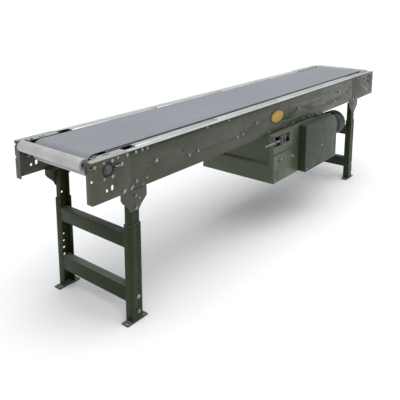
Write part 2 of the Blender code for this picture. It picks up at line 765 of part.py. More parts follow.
def chain_guard():
    """A deep cover open towards the plate."""
    sheet = GUARD_SHEET
    back = PLATE_FRONT_Y - GAP
    guard = extruded("chain_guard", [guard_outline(0.0)], "XZ", -GUARD_Y, back, PAINT)
    hollow = extruded("chain_guard_hollow", [guard_outline(sheet)], "XZ", sheet - GUARD_Y, back + 0.02)
    return cut(guard, hollow)


def reducer():
    """A worm reducer: the casing is hollow and its bores open the hollow to the outside."""
    front, rear = MOTOR_Y - CASING_HALF, MOTOR_Y + CASING_HALF
    casing = rod("reducer_casing", "Y", CASING_R, front, rear, (REDUCER_AT, REDUCER_Z), CAST, 32)
    worm_house = box(
        "worm_house", (REDUCER_AT - CASING_R, MOTOR_Y - 0.045, MOTOR_Z - 0.042),
        (REDUCER_AT + 0.078, MOTOR_Y + 0.045, REDUCER_Z),
    )
    pad = box(
        "reducer_pad", (REDUCER_AT - 0.050, MOTOR_Y - 0.055, REDUCER_Z),
        (REDUCER_AT + 0.050, MOTOR_Y + 0.055, BASE_BOTTOM - GAP),
    )
    flange = rod(
        "reducer_flange", "X", FLANGE_R, REDUCER_AT + 0.076, MOTOR_AT[0] - GAP, (MOTOR_Y, MOTOR_Z), None, 32
    )
    join(casing, worm_house, pad, flange)
    wheel_room = rod(
        "wheel_room", "Y", WHEEL_ROOM_R, front + 0.020, rear - 0.020, (REDUCER_AT, REDUCER_Z), None, 32
    )
    worm_room = rod(
        "worm_room", "X", 0.022, REDUCER_AT - 0.052, REDUCER_AT + 0.060, (MOTOR_Y, MOTOR_Z)
    )
    output = rod(
        "output_bore", "Y", OUTPUT_R + GAP, front - 0.02, rear + 0.02, (REDUCER_AT, REDUCER_Z)
    )
    entry = rod(
        "input_bore", "X", MOTOR_SHAFT_R + GAP, REDUCER_AT + 0.05, MOTOR_AT[0] + 0.02, (MOTOR_Y, MOTOR_Z)
    )
    cut(casing, wheel_room, worm_room, output, entry)
    near, far = SPROCKET_Y - SPROCKET_W / 2 - SHAFT_END, rear + 0.002
    wheel = (MOTOR_Y - WHEEL_HALF, MOTOR_Y + WHEEL_HALF)
    profile = [
        (0.0, far), (OUTPUT_R, far), (OUTPUT_R, wheel[1]), (WHEEL_R, wheel[1]), (WHEEL_R - WHEEL_THROAT, MOTOR_Y),
        (WHEEL_R, wheel[0]), (OUTPUT_R, wheel[0]), (OUTPUT_R, near), (0.0, near),
    ]
    turned("reducer_output_shaft", profile, "Y", (REDUCER_AT, 0, REDUCER_Z), STEEL, 20)


def motor():
    """The motor casing and its fan cover are shells, with the rotor, its worm and the fan inside them."""
    start, end = MOTOR_AT
    casing = rod("motor_casing", "X", MOTOR_R, start, end, (MOTOR_Y, MOTOR_Z), CAST, 32)
    room = rod("motor_room", "X", MOTOR_ROOM_R, start + 0.012, end - 0.010, (MOTOR_Y, MOTOR_Z))
    bore = rod("motor_bore", "X", MOTOR_SHAFT_R + GAP, start - 0.02, end + 0.02, (MOTOR_Y, MOTOR_Z))
    cut(casing, room, bore)
    cover = rod("fan_cover", "X", FAN_COVER_R, end + GAP, FAN_END_AT, (MOTOR_Y, MOTOR_Z), BLACK, 32)
    cover_room = rod(
        "fan_room", "X", FAN_COVER_R - FAN_SHEET, end - 0.01, FAN_END_AT - FAN_SHEET, (MOTOR_Y, MOTOR_Z), None, 32
    )
    vents = []
    for i in range(6):
        y = MOTOR_Y + VENT_CIRCLE * math.cos(i * math.pi / 3)
        z = MOTOR_Z + VENT_CIRCLE * math.sin(i * math.pi / 3)
        vents.append(rod(f"fan_vent_{i}", "X", VENT_R, FAN_END_AT - 0.01, FAN_END_AT + 0.01, (y, z), None, 8))
    cut(cover, cover_room, *vents)
    worm_end = REDUCER_AT - 0.048
    rotor = [
        (0.0, FAN_END_AT - 0.008), (FAN_BORE_R, FAN_END_AT - 0.008), (FAN_BORE_R, end + 0.030),
        (MOTOR_SHAFT_R, end + 0.030), (MOTOR_SHAFT_R, end - 0.040), (ROTOR_R, end - 0.040), (ROTOR_R, start + 0.045),
        (MOTOR_SHAFT_R, start + 0.045), (MOTOR_SHAFT_R, REDUCER_AT + 0.040), (WORM_R, REDUCER_AT + 0.036),
        (WORM_R, REDUCER_AT - 0.036),
        (MOTOR_SHAFT_R, worm_end + 0.008), (MOTOR_SHAFT_R, worm_end), (0.0, worm_end),
    ]
    turned("motor_rotor", rotor, "X", (0, MOTOR_Y, MOTOR_Z), STEEL, 20)
    fan = rod("motor_fan", "X", 0.018, end + 0.0325, end + 0.048, (MOTOR_Y, MOTOR_Z), BLACK, 20)
    for i in range(3):
        blade = box("fan_blade_" + str(i), (0, -FAN_REACH, -SHEET / 2), (0.0135, FAN_REACH, SHEET / 2))
        spin = Matrix.Rotation(i * math.pi / 3, 4, "X")
        home = Matrix.Translation((-x_of(0), -y_of(0), 0))
        place = Matrix.Translation((x_of(end + 0.0335), y_of(MOTOR_Y), MOTOR_Z))
        blade.data.transform(place @ spin @ home)
        join(fan, blade)
    cut(fan, rod("fan_bore", "X", FAN_BORE_R + GAP, end, FAN_END_AT + 0.01, (MOTOR_Y, MOTOR_Z)))
    box(
        "conduit_box", (BOX_AT[0], MOTOR_Y + MOTOR_R + GAP, MOTOR_Z - BOX_HALF),
        (BOX_AT[1], MOTOR_Y + MOTOR_R + BOX_DEPTH, MOTOR_Z + BOX_HALF), BLACK,
    )
    half = WEB - 0.001
    box("motor_base", (REDUCER_AT - 0.070, -half, BASE_BOTTOM), (REDUCER_AT + 0.075, half, BOTTOM - GAP), PAINT)


def name_plate():
    """A blank oval plate on the front channel."""
    centre, half = PLATE_CENTRE, PLATE_HALF
    outline = [
        (centre[0] + half[0] * math.cos(2 * math.pi * i / 32), centre[1] + half[1] * math.sin(2 * math.pi * i / 32))
        for i in range(32)
    ]
    extruded("name_plate", [outline], "XZ", -WEB - GAP - PLATE_THICK, -WEB - GAP, BRASS)


# Floor supports


def leg_outline(side, centre, width, outer, flange):
    """A leg channel in plan: an outer web with both flanges turned inwards."""
    half = width / 2
    web, lip = outer - SHEET, outer - flange
    return [
        (centre - half, side * outer), (centre + half, side * outer), (centre + half, side * lip),
        (centre + half - SHEET, side * lip), (centre + half - SHEET, side * web),
        (centre - half + SHEET, side * web), (centre - half + SHEET, side * lip), (centre - half, side * lip),
    ]


def pivot_plate(end, word, side, at):
    """A plate under the side channel that the leg pivots on."""
    top = BOTTOM - GAP
    outline = [(at + u, top + v) for u, v in PIVOT_OUTLINE]
    left, right = outline[0][0], outline[-1][0]
    name = f"{end}_pivot_plate_{word}"
    ends = sorted((side * (WEB - SHEET), side * WEB))
    plate = extruded(name, [outline], "XZ", *ends, PAINT)
    tab = side_box(
        name + "_tab", side, left, right, WEB - PIVOT_TAB, WEB - 0.001, top - SHEET, top
    )
    return join(plate, tab)


def upper_leg(end, word, side, at):
    outline = leg_outline(side, at, UPPER_LEG_WIDTH, WEB - SHEET - GAP, UPPER_LEG_FLANGE)
    name = f"{end}_upper_leg_{word}"
    return extruded(name, [outline], "XY", *UPPER_LEG_Z, PAINT)


def lower_frame(end, at):
    """Both lower legs with their feet and crossbars, welded into one frame."""
    half = LOWER_LEG_WIDTH / 2
    name = end + "_lower_frame"
    frame = extruded(
        name, [leg_outline(FRONT, at, LOWER_LEG_WIDTH, WEB, LEG_FLANGE)], "XY", FOOT[2] - 0.001, LOWER_LEG_TOP, PAINT
    )
    rear = extruded(
        name + "_rear", [leg_outline(REAR, at, LOWER_LEG_WIDTH, WEB, LEG_FLANGE)], "XY", FOOT[2] - 0.001, LOWER_LEG_TOP
    )
    feet = [
        side_box(f"{name}_foot_{word}", side, at - FOOT[0] / 2, at + FOOT[0] / 2, WEB - FOOT[1], WEB, 0, FOOT[2])
        for word, side in SIDES
    ]
    bars = []
    lip = WEB - LEG_FLANGE
    for number, (bottom, top) in enumerate(CROSSBARS_Z):
        start = at - half
        outline = [
            (start, bottom), (start + CROSSBAR_FLANGE, bottom), (start + CROSSBAR_FLANGE, bottom + SHEET),
            (start + SHEET, bottom + SHEET), (start + SHEET, top - SHEET), (start + CROSSBAR_FLANGE, top - SHEET),
            (start + CROSSBAR_FLANGE, top), (start, top),
        ]
        bars.append(extruded(f"{name}_bar_{number}", [outline], "XZ", -lip - 0.0015, lip + 0.0015))
    join(frame, rear, *feet, *bars)
    for word, side in SIDES:
        ends = (side * WEB - 0.02, side * WEB + 0.02)
        for i in range(LEG_HOLES):
            hole = rod(
                f"{name}_hole_{word}_{i}", "Y", LEG_HOLE_R, *ends,
                (at + LEG_HOLE_OFFSET, LEG_HOLE_TOP - LEG_HOLE_PITCH * i), sides=8,
            )
            cut(frame, hole)
    return frame


def supports():
    for end, at in SUPPORTS:
        pivot = bpy.data.objects.new(end + "_support_pivot", None)
        pivot.location = (x_of(at), y_of(0), PIVOT_Z)
        parts.objects.link(pivot)
        moving = [lower_frame(end, at)]
        for word, side in SIDES:
            pivot_plate(end, word, side, at)
            moving.append(upper_leg(end, word, side, at))
        for obj in moving:
            obj.parent = pivot
            obj.matrix_parent_inverse = Matrix.Translation(-pivot.location)


def main():
    clear_scene()
    side_channels()
    end_brackets()
    slider_pan()
    cross_members()
    edge_strips()
    conveyor_belt()
    pulleys()
    end_bearings()
    pop_out_rollers()
    drive_side_plates()
    take_ups()
    drive_belly_pan()
    chain_drive()
    chain_guard()
    reducer()
    motor()
    name_plate()
    supports()


main()
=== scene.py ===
"""The looks of the belt conveyor section: its visible pieces, their materials, the studio and the camera.

Units are metres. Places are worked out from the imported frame. "at" is a distance along X from the infeed end
of the bed, and "across" a distance along Y from the bed's centre line. The side with the chain guard, called
front, is at negative across.
"""

import math

import bmesh
import bpy
from mathutils import Matrix, Vector


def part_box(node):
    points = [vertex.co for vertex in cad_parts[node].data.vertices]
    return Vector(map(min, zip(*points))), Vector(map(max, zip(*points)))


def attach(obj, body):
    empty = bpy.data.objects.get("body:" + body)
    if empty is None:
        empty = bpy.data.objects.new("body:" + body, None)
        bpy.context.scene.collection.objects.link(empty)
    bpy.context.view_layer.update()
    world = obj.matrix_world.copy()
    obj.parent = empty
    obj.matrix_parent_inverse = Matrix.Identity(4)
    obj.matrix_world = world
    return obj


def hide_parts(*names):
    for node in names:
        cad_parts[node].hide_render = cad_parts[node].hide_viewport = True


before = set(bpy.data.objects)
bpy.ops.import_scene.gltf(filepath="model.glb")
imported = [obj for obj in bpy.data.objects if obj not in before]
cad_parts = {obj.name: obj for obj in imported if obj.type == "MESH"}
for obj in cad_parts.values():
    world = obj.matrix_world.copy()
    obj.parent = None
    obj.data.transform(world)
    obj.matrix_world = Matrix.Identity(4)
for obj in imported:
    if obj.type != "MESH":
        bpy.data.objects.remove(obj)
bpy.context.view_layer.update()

LOW = {name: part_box(name)[0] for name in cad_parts}
HIGH = {name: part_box(name)[1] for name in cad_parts}
LENGTH = 2.712
START = (LOW["infeed_bracket_front"].x + HIGH["outfeed_bracket_front"].x - LENGTH) / 2
FRONT_FACE = LOW["side_channel_front"].y
REAR_FACE = HIGH["side_channel_rear"].y
CENTRE_Y = (FRONT_FACE + REAR_FACE) / 2
WEB = (REAR_FACE - FRONT_FACE) / 2
TOP = HIGH["side_channel_front"].z
BOTTOM = LOW["side_channel_front"].z
FLOOR_Z = LOW["infeed_lower_frame"].z
ORIGIN = Vector((START, CENTRE_Y, 0.0))
SHEET = 0.003
THIN = 0.002
CHANNEL_TOP_FLANGE = 0.026
CHANNEL_BOTTOM_FLANGE = 0.038
BEND = 0.0025
GAP = 0.0003
SIDES = (("front", -1), ("rear", 1))
ENDS = ("infeed", "outfeed")
ROUND = 48


# Places


def at_of(x):
    return x - START


def across_of(y):
    return y - CENTRE_Y


def middle(node):
    """The centre of a node's box as distance along, distance across and height."""
    return (LOW[node] + HIGH[node]) / 2 - ORIGIN


def span(node):
    """The low and high corners of a node's box as distance along, distance across and height."""
    return LOW[node] - ORIGIN, HIGH[node] - ORIGIN


def radius_of(node):
    """The radius of a roller or pulley that lies across the bed."""
    return (HIGH[node].z - LOW[node].z) / 2


def from_end(at, end):
    """A distance from the infeed end, or the same one measured from the outfeed end."""
    return LENGTH - at if end == "outfeed" else at


# Mesh building, in distances along, across and height


def add_box(bm, low, high, turn=Matrix()):
    """A box between two opposite corners in any order, turned by a matrix."""
    centre = [(a + b) / 2 for a, b in zip(low, high)]
    size = [abs(b - a) for a, b in zip(low, high)]
    place = turn @ Matrix.Translation(centre) @ Matrix.Diagonal((*size, 1.0))
    bmesh.ops.create_cube(bm, size=1.0, matrix=place)
    return bm


def add_prism(bm, outline, plane, start, end):
    """A closed outline run from start to end across its plane: YZ along X, XZ along Y, XY along Z."""
    place = {
        "YZ": lambda u, v, w: (w, u, v),
        "XZ": lambda u, v, w: (u, w, v),
        "XY": lambda u, v, w: (u, v, w),
    }[plane]
    near = [bm.verts.new(place(u, v, start)) for u, v in outline]
    far = [bm.verts.new(place(u, v, end)) for u, v in outline]
    faces = [bm.faces.new(near), bm.faces.new(far)]
    for i in range(len(outline)):
        k = (i + 1) % len(outline)
        faces.append(bm.faces.new((near[i], near[k], far[k], far[i])))
    bmesh.ops.recalc_face_normals(bm, faces=faces)
    return bm


def towards(place, direction):
    """The matrix that puts +Z along direction at a place."""
    turn = Vector(direction).to_track_quat("Z", "Y").to_matrix().to_4x4()
    return Matrix.Translation(place) @ turn


def add_lathe(bm, profile, place, direction, sides=ROUND, turn=0.0):
    """Turns (radius, distance along the axis) points. A profile that closes on itself makes a ring."""
    matrix = towards(place, direction)
    closed = profile[0] == profile[-1]
    rings = []
    for radius, along in profile[:-1] if closed else profile:
        if radius < 1e-7:
            rings.append([bm.verts.new(matrix @ Vector((0, 0, along)))])
            continue
        angles = [turn + 2 * math.pi * i / sides for i in range(sides)]
        rings.append([
            bm.verts.new(matrix @ Vector((radius * math.cos(a), radius * math.sin(a), along))) for a in angles
        ])
    pairs = list(zip(rings, rings[1:]))
    if closed:
        pairs.append((rings[-1], rings[0]))
    faces = []
    for first, second in pairs:
        for i in range(sides):
            k = (i + 1) % sides
            if len(first) == 1:
                faces.append(bm.faces.new((first[0], second[i], second[k])))
            elif len(second) == 1:
                faces.append(bm.faces.new((first[i], first[k], second[0])))
            else:
                faces.append(bm.faces.new((first[i], first[k], second[k], second[i])))
    bmesh.ops.recalc_face_normals(bm, faces=faces)
    return bm


def add_skin(bm, rings, closed=False):
    """Quads between rings that have equally many points, and from the last ring to the first if closed."""
    faces = []
    for first, second in zip(rings, rings[1:] + rings[:1] if closed else rings[1:]):
        for i in range(len(first)):
            k = (i + 1) % len(first)
            faces.append(bm.faces.new((first[i], first[k], second[k], second[i])))
    return faces


def arc(centre, radius, start, end, count):
    """Points on a circle, angles in degrees, both ends included."""
    angles = [math.radians(start + (end - start) * i / count) for i in range(count + 1)]
    return [(centre[0] + radius * math.cos(a), centre[1] + radius * math.sin(a)) for a in angles]


def around(count, radius, centre=(0.0, 0.0), start=0.0):
    """Points spaced evenly on a circle, from an angle in radians."""
    angles = [start + 2 * math.pi * i / count for i in range(count)]
    return [(centre[0] + radius * math.cos(a), centre[1] + radius * math.sin(a)) for a in angles]


def stadium(centre, length, width, lean=0.0):
    """The outline of a slot with round ends, leaning by an angle in degrees."""
    half = (length - width) / 2
    points = arc((half, 0), width / 2, -90, 90, 8) + arc((-half, 0), width / 2, 90, 270, 8)
    c, s = math.cos(math.radians(lean)), math.sin(math.radians(lean))
    return [(centre[0] + u * c - v * s, centre[1] + u * s + v * c) for u, v in points]


def folded(path, sheet=SHEET, bend=BEND, steps=4):
    """The closed outline of a folded sheet. path is its right-hand face, and bend the inside radius."""
    right, left = [], []
    for i, point in enumerate(path):
        here = Vector(point)
        if i in (0, len(path) - 1):
            way = Vector(path[1]) - here if i == 0 else here - Vector(path[-2])
            way.normalize()
            right.append(here)
            left.append(here + Vector((-way.y, way.x)) * sheet)
            continue
        arrive = (here - Vector(path[i - 1])).normalized()
        leave = (Vector(path[i + 1]) - here).normalized()
        turn = math.atan2(arrive.cross(leave), arrive.dot(leave))
        side = 1 if turn > 0 else -1
        radius = bend + sheet if side > 0 else bend
        normal = Vector((-arrive.y, arrive.x)) * side
        centre = here - arrive * radius * math.tan(abs(turn) / 2) + normal * radius
        for k in range(steps + 1):
            spoke = Matrix.Rotation(turn * k / steps, 2) @ -normal
            right.append(centre + spoke * radius)
            left.append(centre + spoke * (radius - side * sheet))
    return [tuple(p) for p in right + left[::-1]]


def mirrored(outline, side):
    """An outline whose first coordinate is across, for the front or the rear."""
    return [(side * u, v) for u, v in outline]


def finished_mesh(name, bm, cutter=None, edge=0.0, segments=2):
    """The mesh of bm after cutting it with another bmesh's bodies and rounding its edges."""
    scene = bpy.context.scene
    objects = []
    for label, source in ((name, bm), (name + "_cutter", cutter)):
        if source is not None:
            mesh = bpy.data.meshes.new(label)
            source.to_mesh(mesh)
            source.free()
            objects.append(bpy.data.objects.new(label, mesh))
            scene.collection.objects.link(objects[-1])
    obj = objects[0]
    if cutter is not None:
        boolean = obj.modifiers.new("cut", "BOOLEAN")
        boolean.operation = "DIFFERENCE"
        boolean.solver = "EXACT"
        boolean.object = objects[1]
    if edge:
        bevel = obj.modifiers.new("edge", "BEVEL")
        bevel.width = edge
        bevel.segments = segments
        bevel.limit_method = "ANGLE"
        bevel.angle_limit = math.radians(40)
    graph = bpy.context.evaluated_depsgraph_get()
    mesh = bpy.data.meshes.new_from_object(obj.evaluated_get(graph))
    for extra in objects:
        old = extra.data
        bpy.data.objects.remove(extra, do_unlink=True)
        bpy.data.meshes.remove(old)
    return mesh


def piece(name, bm, body, look, replaces=(), cutter=None, edge=0.0, segments=2, smooth=32):
    """A finished piece that rides on a body, with its material."""
    mesh = finished_mesh(name, bm, cutter, edge, segments)
    mesh.transform(Matrix.Translation(ORIGIN))
    mesh.name = name
    obj = bpy.data.objects.new(name, mesh)
    bpy.context.scene.collection.objects.link(obj)
    names = look if isinstance(look, tuple) else (look,)
    mesh.materials.clear()
    for each in names:
        mesh.materials.append(LOOKS[each])
    mesh.shade_smooth()
    mesh.set_sharp_from_angle(angle=math.radians(smooth))
    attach(obj, body)
    if replaces:
        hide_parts(*([replaces] if isinstance(replaces, str) else replaces))
    return obj


def turned(name, body, look, profile, place, direction, sides=ROUND, replaces=(), **finish):
    """A piece turned about one axis."""
    bm = add_lathe(bmesh.new(), profile, place, direction, sides)
    return piece(name, bm, body, look, replaces, **finish)


def cad_bmesh(node):
    """A CAD node's shape with its split corners welded and its flat faces whole again."""
    bm = bmesh.new()
    bm.from_mesh(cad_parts[node].data)
    bmesh.ops.remove_doubles(bm, verts=bm.verts, dist=0.00002)
    bmesh.ops.dissolve_limit(
        bm, angle_limit=math.radians(0.5), verts=bm.verts, edges=bm.edges, use_dissolve_boundaries=False
    )
    bmesh.ops.translate(bm, vec=-ORIGIN, verts=bm.verts)
    return bm


# Materials


def feed(tree, socket, value):
    """Links a socket to another one or gives it a constant."""
    if isinstance(value, bpy.types.NodeSocket):
        tree.links.new(value, socket)
    else:
        socket.default_value = value


def add_node(tree, kind, inputs=None, **settings):
    made = tree.nodes.new(kind)
    for key, value in settings.items():
        setattr(made, key, value)
    for key, value in (inputs or {}).items():
        feed(tree, made.inputs[key], value)
    return made


class Surface:
    """One Principled material with short calls for its nodes."""

    def __init__(self, name, roughness, metallic=0.0, **constants):
        self.material = bpy.data.materials.new(name)
        self.material.use_nodes = True
        self.tree = self.material.node_tree
        self.shader = self.tree.nodes["Principled BSDF"]
        self.shader.inputs["Roughness"].default_value = roughness
        self.shader.inputs["Metallic"].default_value = metallic
        for key, value in constants.items():
            self.shader.inputs[key.replace("_", " ")].default_value = value
        self.place = add_node(self.tree, "ShaderNodeTexCoord").outputs["Object"]

    def stretched(self, scale):
        """Object coordinates scaled by axis, so that a texture runs as streaks."""
        return add_node(
            self.tree, "ShaderNodeMapping", {"Vector": self.place, "Scale": scale}
        ).outputs["Vector"]

    def noise(self, scale, detail=4.0, vector=None, roughness=0.55):
        inputs = {"Vector": vector or self.place, "Scale": scale, "Detail": detail, "Roughness": roughness}
        return add_node(self.tree, "ShaderNodeTexNoise", inputs).outputs["Fac"]

    def wave(self, scale, distortion, axis):
        inputs = {"Vector": self.place, "Scale": scale, "Distortion": distortion}
        return add_node(self.tree, "ShaderNodeTexWave", inputs, bands_direction=axis).outputs["Fac"]

    def ranged(self, value, low, high, to_low=0.0, to_high=1.0, smooth=False):
        inputs = {"Value": value, "From Min": low, "From Max": high, "To Min": to_low, "To Max": to_high}
        kind = "SMOOTHSTEP" if smooth else "LINEAR"
        return add_node(self.tree, "ShaderNodeMapRange", inputs, interpolation_type=kind).outputs["Result"]

    def math(self, operation, first, second=0.0):
        made = add_node(self.tree, "ShaderNodeMath", operation=operation)
        for socket, value in zip(made.inputs, (first, second)):
            feed(self.tree, socket, value)
        return made.outputs[0]

    def mix(self, factor, first, second):
        """A colour between two, each given as a colour or a socket."""
        made = add_node(self.tree, "ShaderNodeMix", data_type="RGBA")
        for number, value in ((0, factor), (6, first), (7, second)):
            feed(self.tree, made.inputs[number], (*value, 1.0) if isinstance(value, tuple) else value)
        return made.outputs[2]

    def edges(self, radius, low=0.02, high=0.25):
        """1 along convex and concave edges, from how far a rounded normal leans from the true one."""
        rounded = add_node(self.tree, "ShaderNodeBevel", {"Radius": radius}, samples=6).outputs["Normal"]
        true = add_node(self.tree, "ShaderNodeNewGeometry").outputs["Normal"]
        made = add_node(self.tree, "ShaderNodeVectorMath", operation="DISTANCE")
        self.tree.links.new(rounded, made.inputs[0])
        self.tree.links.new(true, made.inputs[1])
        return self.ranged(made.outputs["Value"], low, high, smooth=True)

    def upward(self, low=0.6, high=0.98):
        """1 where a face looks up."""
        normal = add_node(self.tree, "ShaderNodeNewGeometry").outputs["Normal"]
        height = add_node(self.tree, "ShaderNodeSeparateXYZ", {"Vector": normal}).outputs["Z"]
        return self.ranged(height, low, high)

    def bump(self, height, distance, strength=1.0, before=None):
        inputs = {"Height": height, "Distance": distance, "Strength": strength}
        if before is not None:
            inputs["Normal"] = before
        return add_node(self.tree, "ShaderNodeBump", inputs).outputs["Normal"]

    def set(self, **sockets):
        for key, value in sockets.items():
            self.tree.links.new(value, self.shader.inputs[key.replace("_", " ")])
        return self.material


def paint(name="green_enamel", top_dust_and_sheen=0.10, shade=(1.0, 1.0, 1.0), gloss=0.38, painted_flange_shadow=False):
    """Baked grey-green enamel with chipped edges and rubbed streaks. Upward faces turn pale, partly with dust
    and partly with a painted sheen of the overhead light; an optional band of painted shade darkens the web
    under the top flange.
    """
    s = Surface(name, 0.40, Coat_Weight=0.16 * gloss, Coat_Roughness=0.30, Specular_IOR_Level=gloss)
    broad = s.noise(3.5, 3.0)
    fine = s.noise(45.0, 5.0)
    tones = ((0.034, 0.040, 0.022), (0.047, 0.054, 0.032), (0.026, 0.031, 0.017), (0.068, 0.076, 0.054))
    dark, light, deep, pale = [tuple(k * c for k, c in zip(shade, tone)) for tone in tones]
    green = s.mix(s.ranged(broad, 0.35, 0.65), dark, light)
    green = s.mix(s.ranged(fine, 0.30, 0.75, 0.0, 0.35), green, deep)
    streaks = s.noise(14.0, 6.0, s.stretched((1.0, 6.0, 14.0)), 0.7)
    rubbed = s.ranged(streaks, 0.60, 0.76, 0.0, 0.45, smooth=True)
    green = s.mix(rubbed, green, pale)
    chips = s.math("MULTIPLY", s.edges(0.0016), s.ranged(s.noise(160.0, 4.0), 0.42, 0.58, smooth=True))
    green = s.mix(s.math("MULTIPLY", chips, 0.55), green, (0.210, 0.220, 0.190))
    # A dark band along the web just under the top flange: painted shade standing for the shadow beneath the
    # flange.
    if painted_flange_shadow:
        height = add_node(s.tree, "ShaderNodeSeparateXYZ", {"Vector": s.place}).outputs["Z"]
        wavy = s.math("ADD", height, s.ranged(s.noise(30.0), 0.3, 0.7, -0.0015, 0.0015))
        flange_shadow = s.ranged(wavy, TOP - 0.036, TOP - 0.018, 0.0, 0.22)
        flange_shadow = s.math("MAXIMUM", flange_shadow, s.ranged(wavy, TOP - 0.0155, TOP - 0.0125, 0.0, 0.85))
        green = s.mix(flange_shadow, green, (0.006, 0.007, 0.005))
    # Upward faces mixed towards pale: partly dust, partly a painted sheen standing for the overhead light's
    # glare on the tops.
    dust_and_sheen = s.math("MULTIPLY", s.upward(), s.ranged(s.noise(9.0, 4.0), 0.30, 0.70, 0.75 * top_dust_and_sheen, top_dust_and_sheen))
    green = s.mix(dust_and_sheen, green, (0.580, 0.600, 0.570))
    rough = s.ranged(s.noise(22.0, 5.0), 0.25, 0.75, 0.30, 0.50)
    rough = s.math("ADD", rough, s.math("MULTIPLY", dust_and_sheen, 0.15))
    peel = s.bump(s.noise(420.0, 2.0), 0.00025, 0.30)
    return s.set(Base_Color=green, Roughness=rough, Normal=s.bump(chips, 0.00015, 0.6, peel))


def belting():
    """A grey rubber cover with a fine impression and long rub marks."""
    s = Surface("belt_cover", 0.42, Sheen_Weight=0.08, Sheen_Roughness=0.5)
    broad = s.noise(2.2, 4.0, s.stretched((0.6, 2.4, 1.0)))
    grey = s.mix(s.ranged(broad, 0.30, 0.70), (0.176, 0.186, 0.212), (0.228, 0.242, 0.268))
    marks = s.noise(9.0, 7.0, s.stretched((0.35, 22.0, 22.0)), 0.65)
    grey = s.mix(s.ranged(marks, 0.55, 0.72, 0.0, 0.30, smooth=True), grey, (0.300, 0.310, 0.325))
    grey = s.mix(s.ranged(marks, 0.44, 0.30, 0.0, 0.28, smooth=True), grey, (0.120, 0.124, 0.138))
    specks = s.ranged(s.noise(310.0, 2.0), 0.62, 0.72, 0.0, 0.22, smooth=True)
    grey = s.mix(specks, grey, (0.30, 0.30, 0.31))
    rough = s.ranged(marks, 0.30, 0.70, 0.34, 0.52)
    weave = s.math("MULTIPLY", s.wave(95.0, 0.5, "X"), s.wave(95.0, 0.5, "Y"))
    normal = s.bump(weave, 0.00012, 0.35, s.bump(s.noise(240.0, 3.0), 0.0002, 0.25))
    return s.set(Base_Color=grey, Roughness=rough, Normal=normal)


def carcass():
    """The belt's woven polyester underside and cut edges."""
    s = Surface("belt_carcass", 0.85)
    threads = s.math("MAXIMUM", s.wave(160.0, 1.0, "X"), s.wave(160.0, 1.0, "Y"))
    grey = s.mix(threads, (0.045, 0.045, 0.050), (0.120, 0.118, 0.112))
    grey = s.mix(s.ranged(s.noise(12.0), 0.3, 0.7, 0.0, 0.4), grey, (0.075, 0.072, 0.068))
    return s.set(Base_Color=grey, Normal=s.bump(threads, 0.0004, 0.6))


def metal(name, light, dark, roughness, streak, spread=0.14, spots=0.25, bump=0.00004, metallic=1.0):
    """A bare or plated metal with fine streaks, a cloudy tone and a few dull spots."""
    s = Surface(name, roughness, metallic)
    grain = s.noise(60.0, 6.0, s.stretched(streak), 0.7)
    cloud = s.noise(11.0, 4.0)
    tone = s.mix(s.ranged(cloud, 0.3, 0.7), light, dark)
    tone = s.mix(s.ranged(grain, 0.35, 0.75, 0.0, 0.35), tone, tuple(0.75 * c for c in dark))
    dull = s.ranged(s.noise(70.0, 5.0), 0.60, 0.72, 0.0, spots, smooth=True)
    tone = s.mix(dull, tone, tuple(0.55 * c for c in dark))
    rough = s.ranged(grain, 0.25, 0.75, roughness - spread / 2, roughness + spread / 2)
    rough = s.math("ADD", rough, s.math("MULTIPLY", dull, 0.5))
    return s.set(Base_Color=tone, Roughness=rough, Normal=s.bump(grain, bump, 0.5))


def casting():
    """Painted sand casting: a grainy skin with darker hollows and worn corners."""
    s = Surface("cast_enamel", 0.55, Coat_Weight=0.08, Coat_Roughness=0.35)
    grain = s.noise(260.0, 5.0)
    tone = s.mix(s.ranged(s.noise(14.0, 4.0), 0.3, 0.7), (0.026, 0.032, 0.031), (0.046, 0.054, 0.052))
    worn = s.math("MULTIPLY", s.edges(0.0020), s.ranged(s.noise(90.0), 0.40, 0.60, smooth=True))
    tone = s.mix(s.math("MULTIPLY", worn, 0.6), tone, (0.150, 0.155, 0.150))
    oil = s.ranged(s.noise(6.0, 5.0), 0.55, 0.68, 0.0, 0.6, smooth=True)
    tone = s.mix(oil, tone, (0.016, 0.018, 0.017))
    rough = s.math("SUBTRACT", s.ranged(grain, 0.3, 0.7, 0.50, 0.66), s.math("MULTIPLY", oil, 0.22))
    return s.set(Base_Color=tone, Roughness=rough, Normal=s.bump(grain, 0.0005, 0.55))


def black():
    """Black wrinkle-finish covers."""
    s = Surface("black_wrinkle", 0.50, Specular_IOR_Level=0.22)
    wrinkle = s.noise(330.0, 3.0, None, 0.4)
    tone = s.mix(s.ranged(s.noise(8.0), 0.3, 0.7), (0.016, 0.016, 0.018), (0.032, 0.032, 0.034))
    worn = s.math("MULTIPLY", s.edges(0.0014), s.ranged(s.noise(120.0), 0.45, 0.6, 0.0, 0.6, smooth=True))
    tone = s.mix(worn, tone, (0.16, 0.16, 0.16))
    rough = s.ranged(wrinkle, 0.3, 0.7, 0.42, 0.60)
    return s.set(Base_Color=tone, Roughness=rough, Normal=s.bump(wrinkle, 0.0005, 0.5))


def rubber():
    """Lagging and seals."""
    s = Surface("rubber", 0.72)
    tone = s.mix(s.ranged(s.noise(30.0, 6.0), 0.3, 0.7), (0.018, 0.018, 0.018), (0.045, 0.043, 0.040))
    rough = s.ranged(s.noise(60.0), 0.3, 0.7, 0.60, 0.82)
    return s.set(Base_Color=tone, Roughness=rough, Normal=s.bump(s.noise(500.0, 2.0), 0.0003, 0.5))


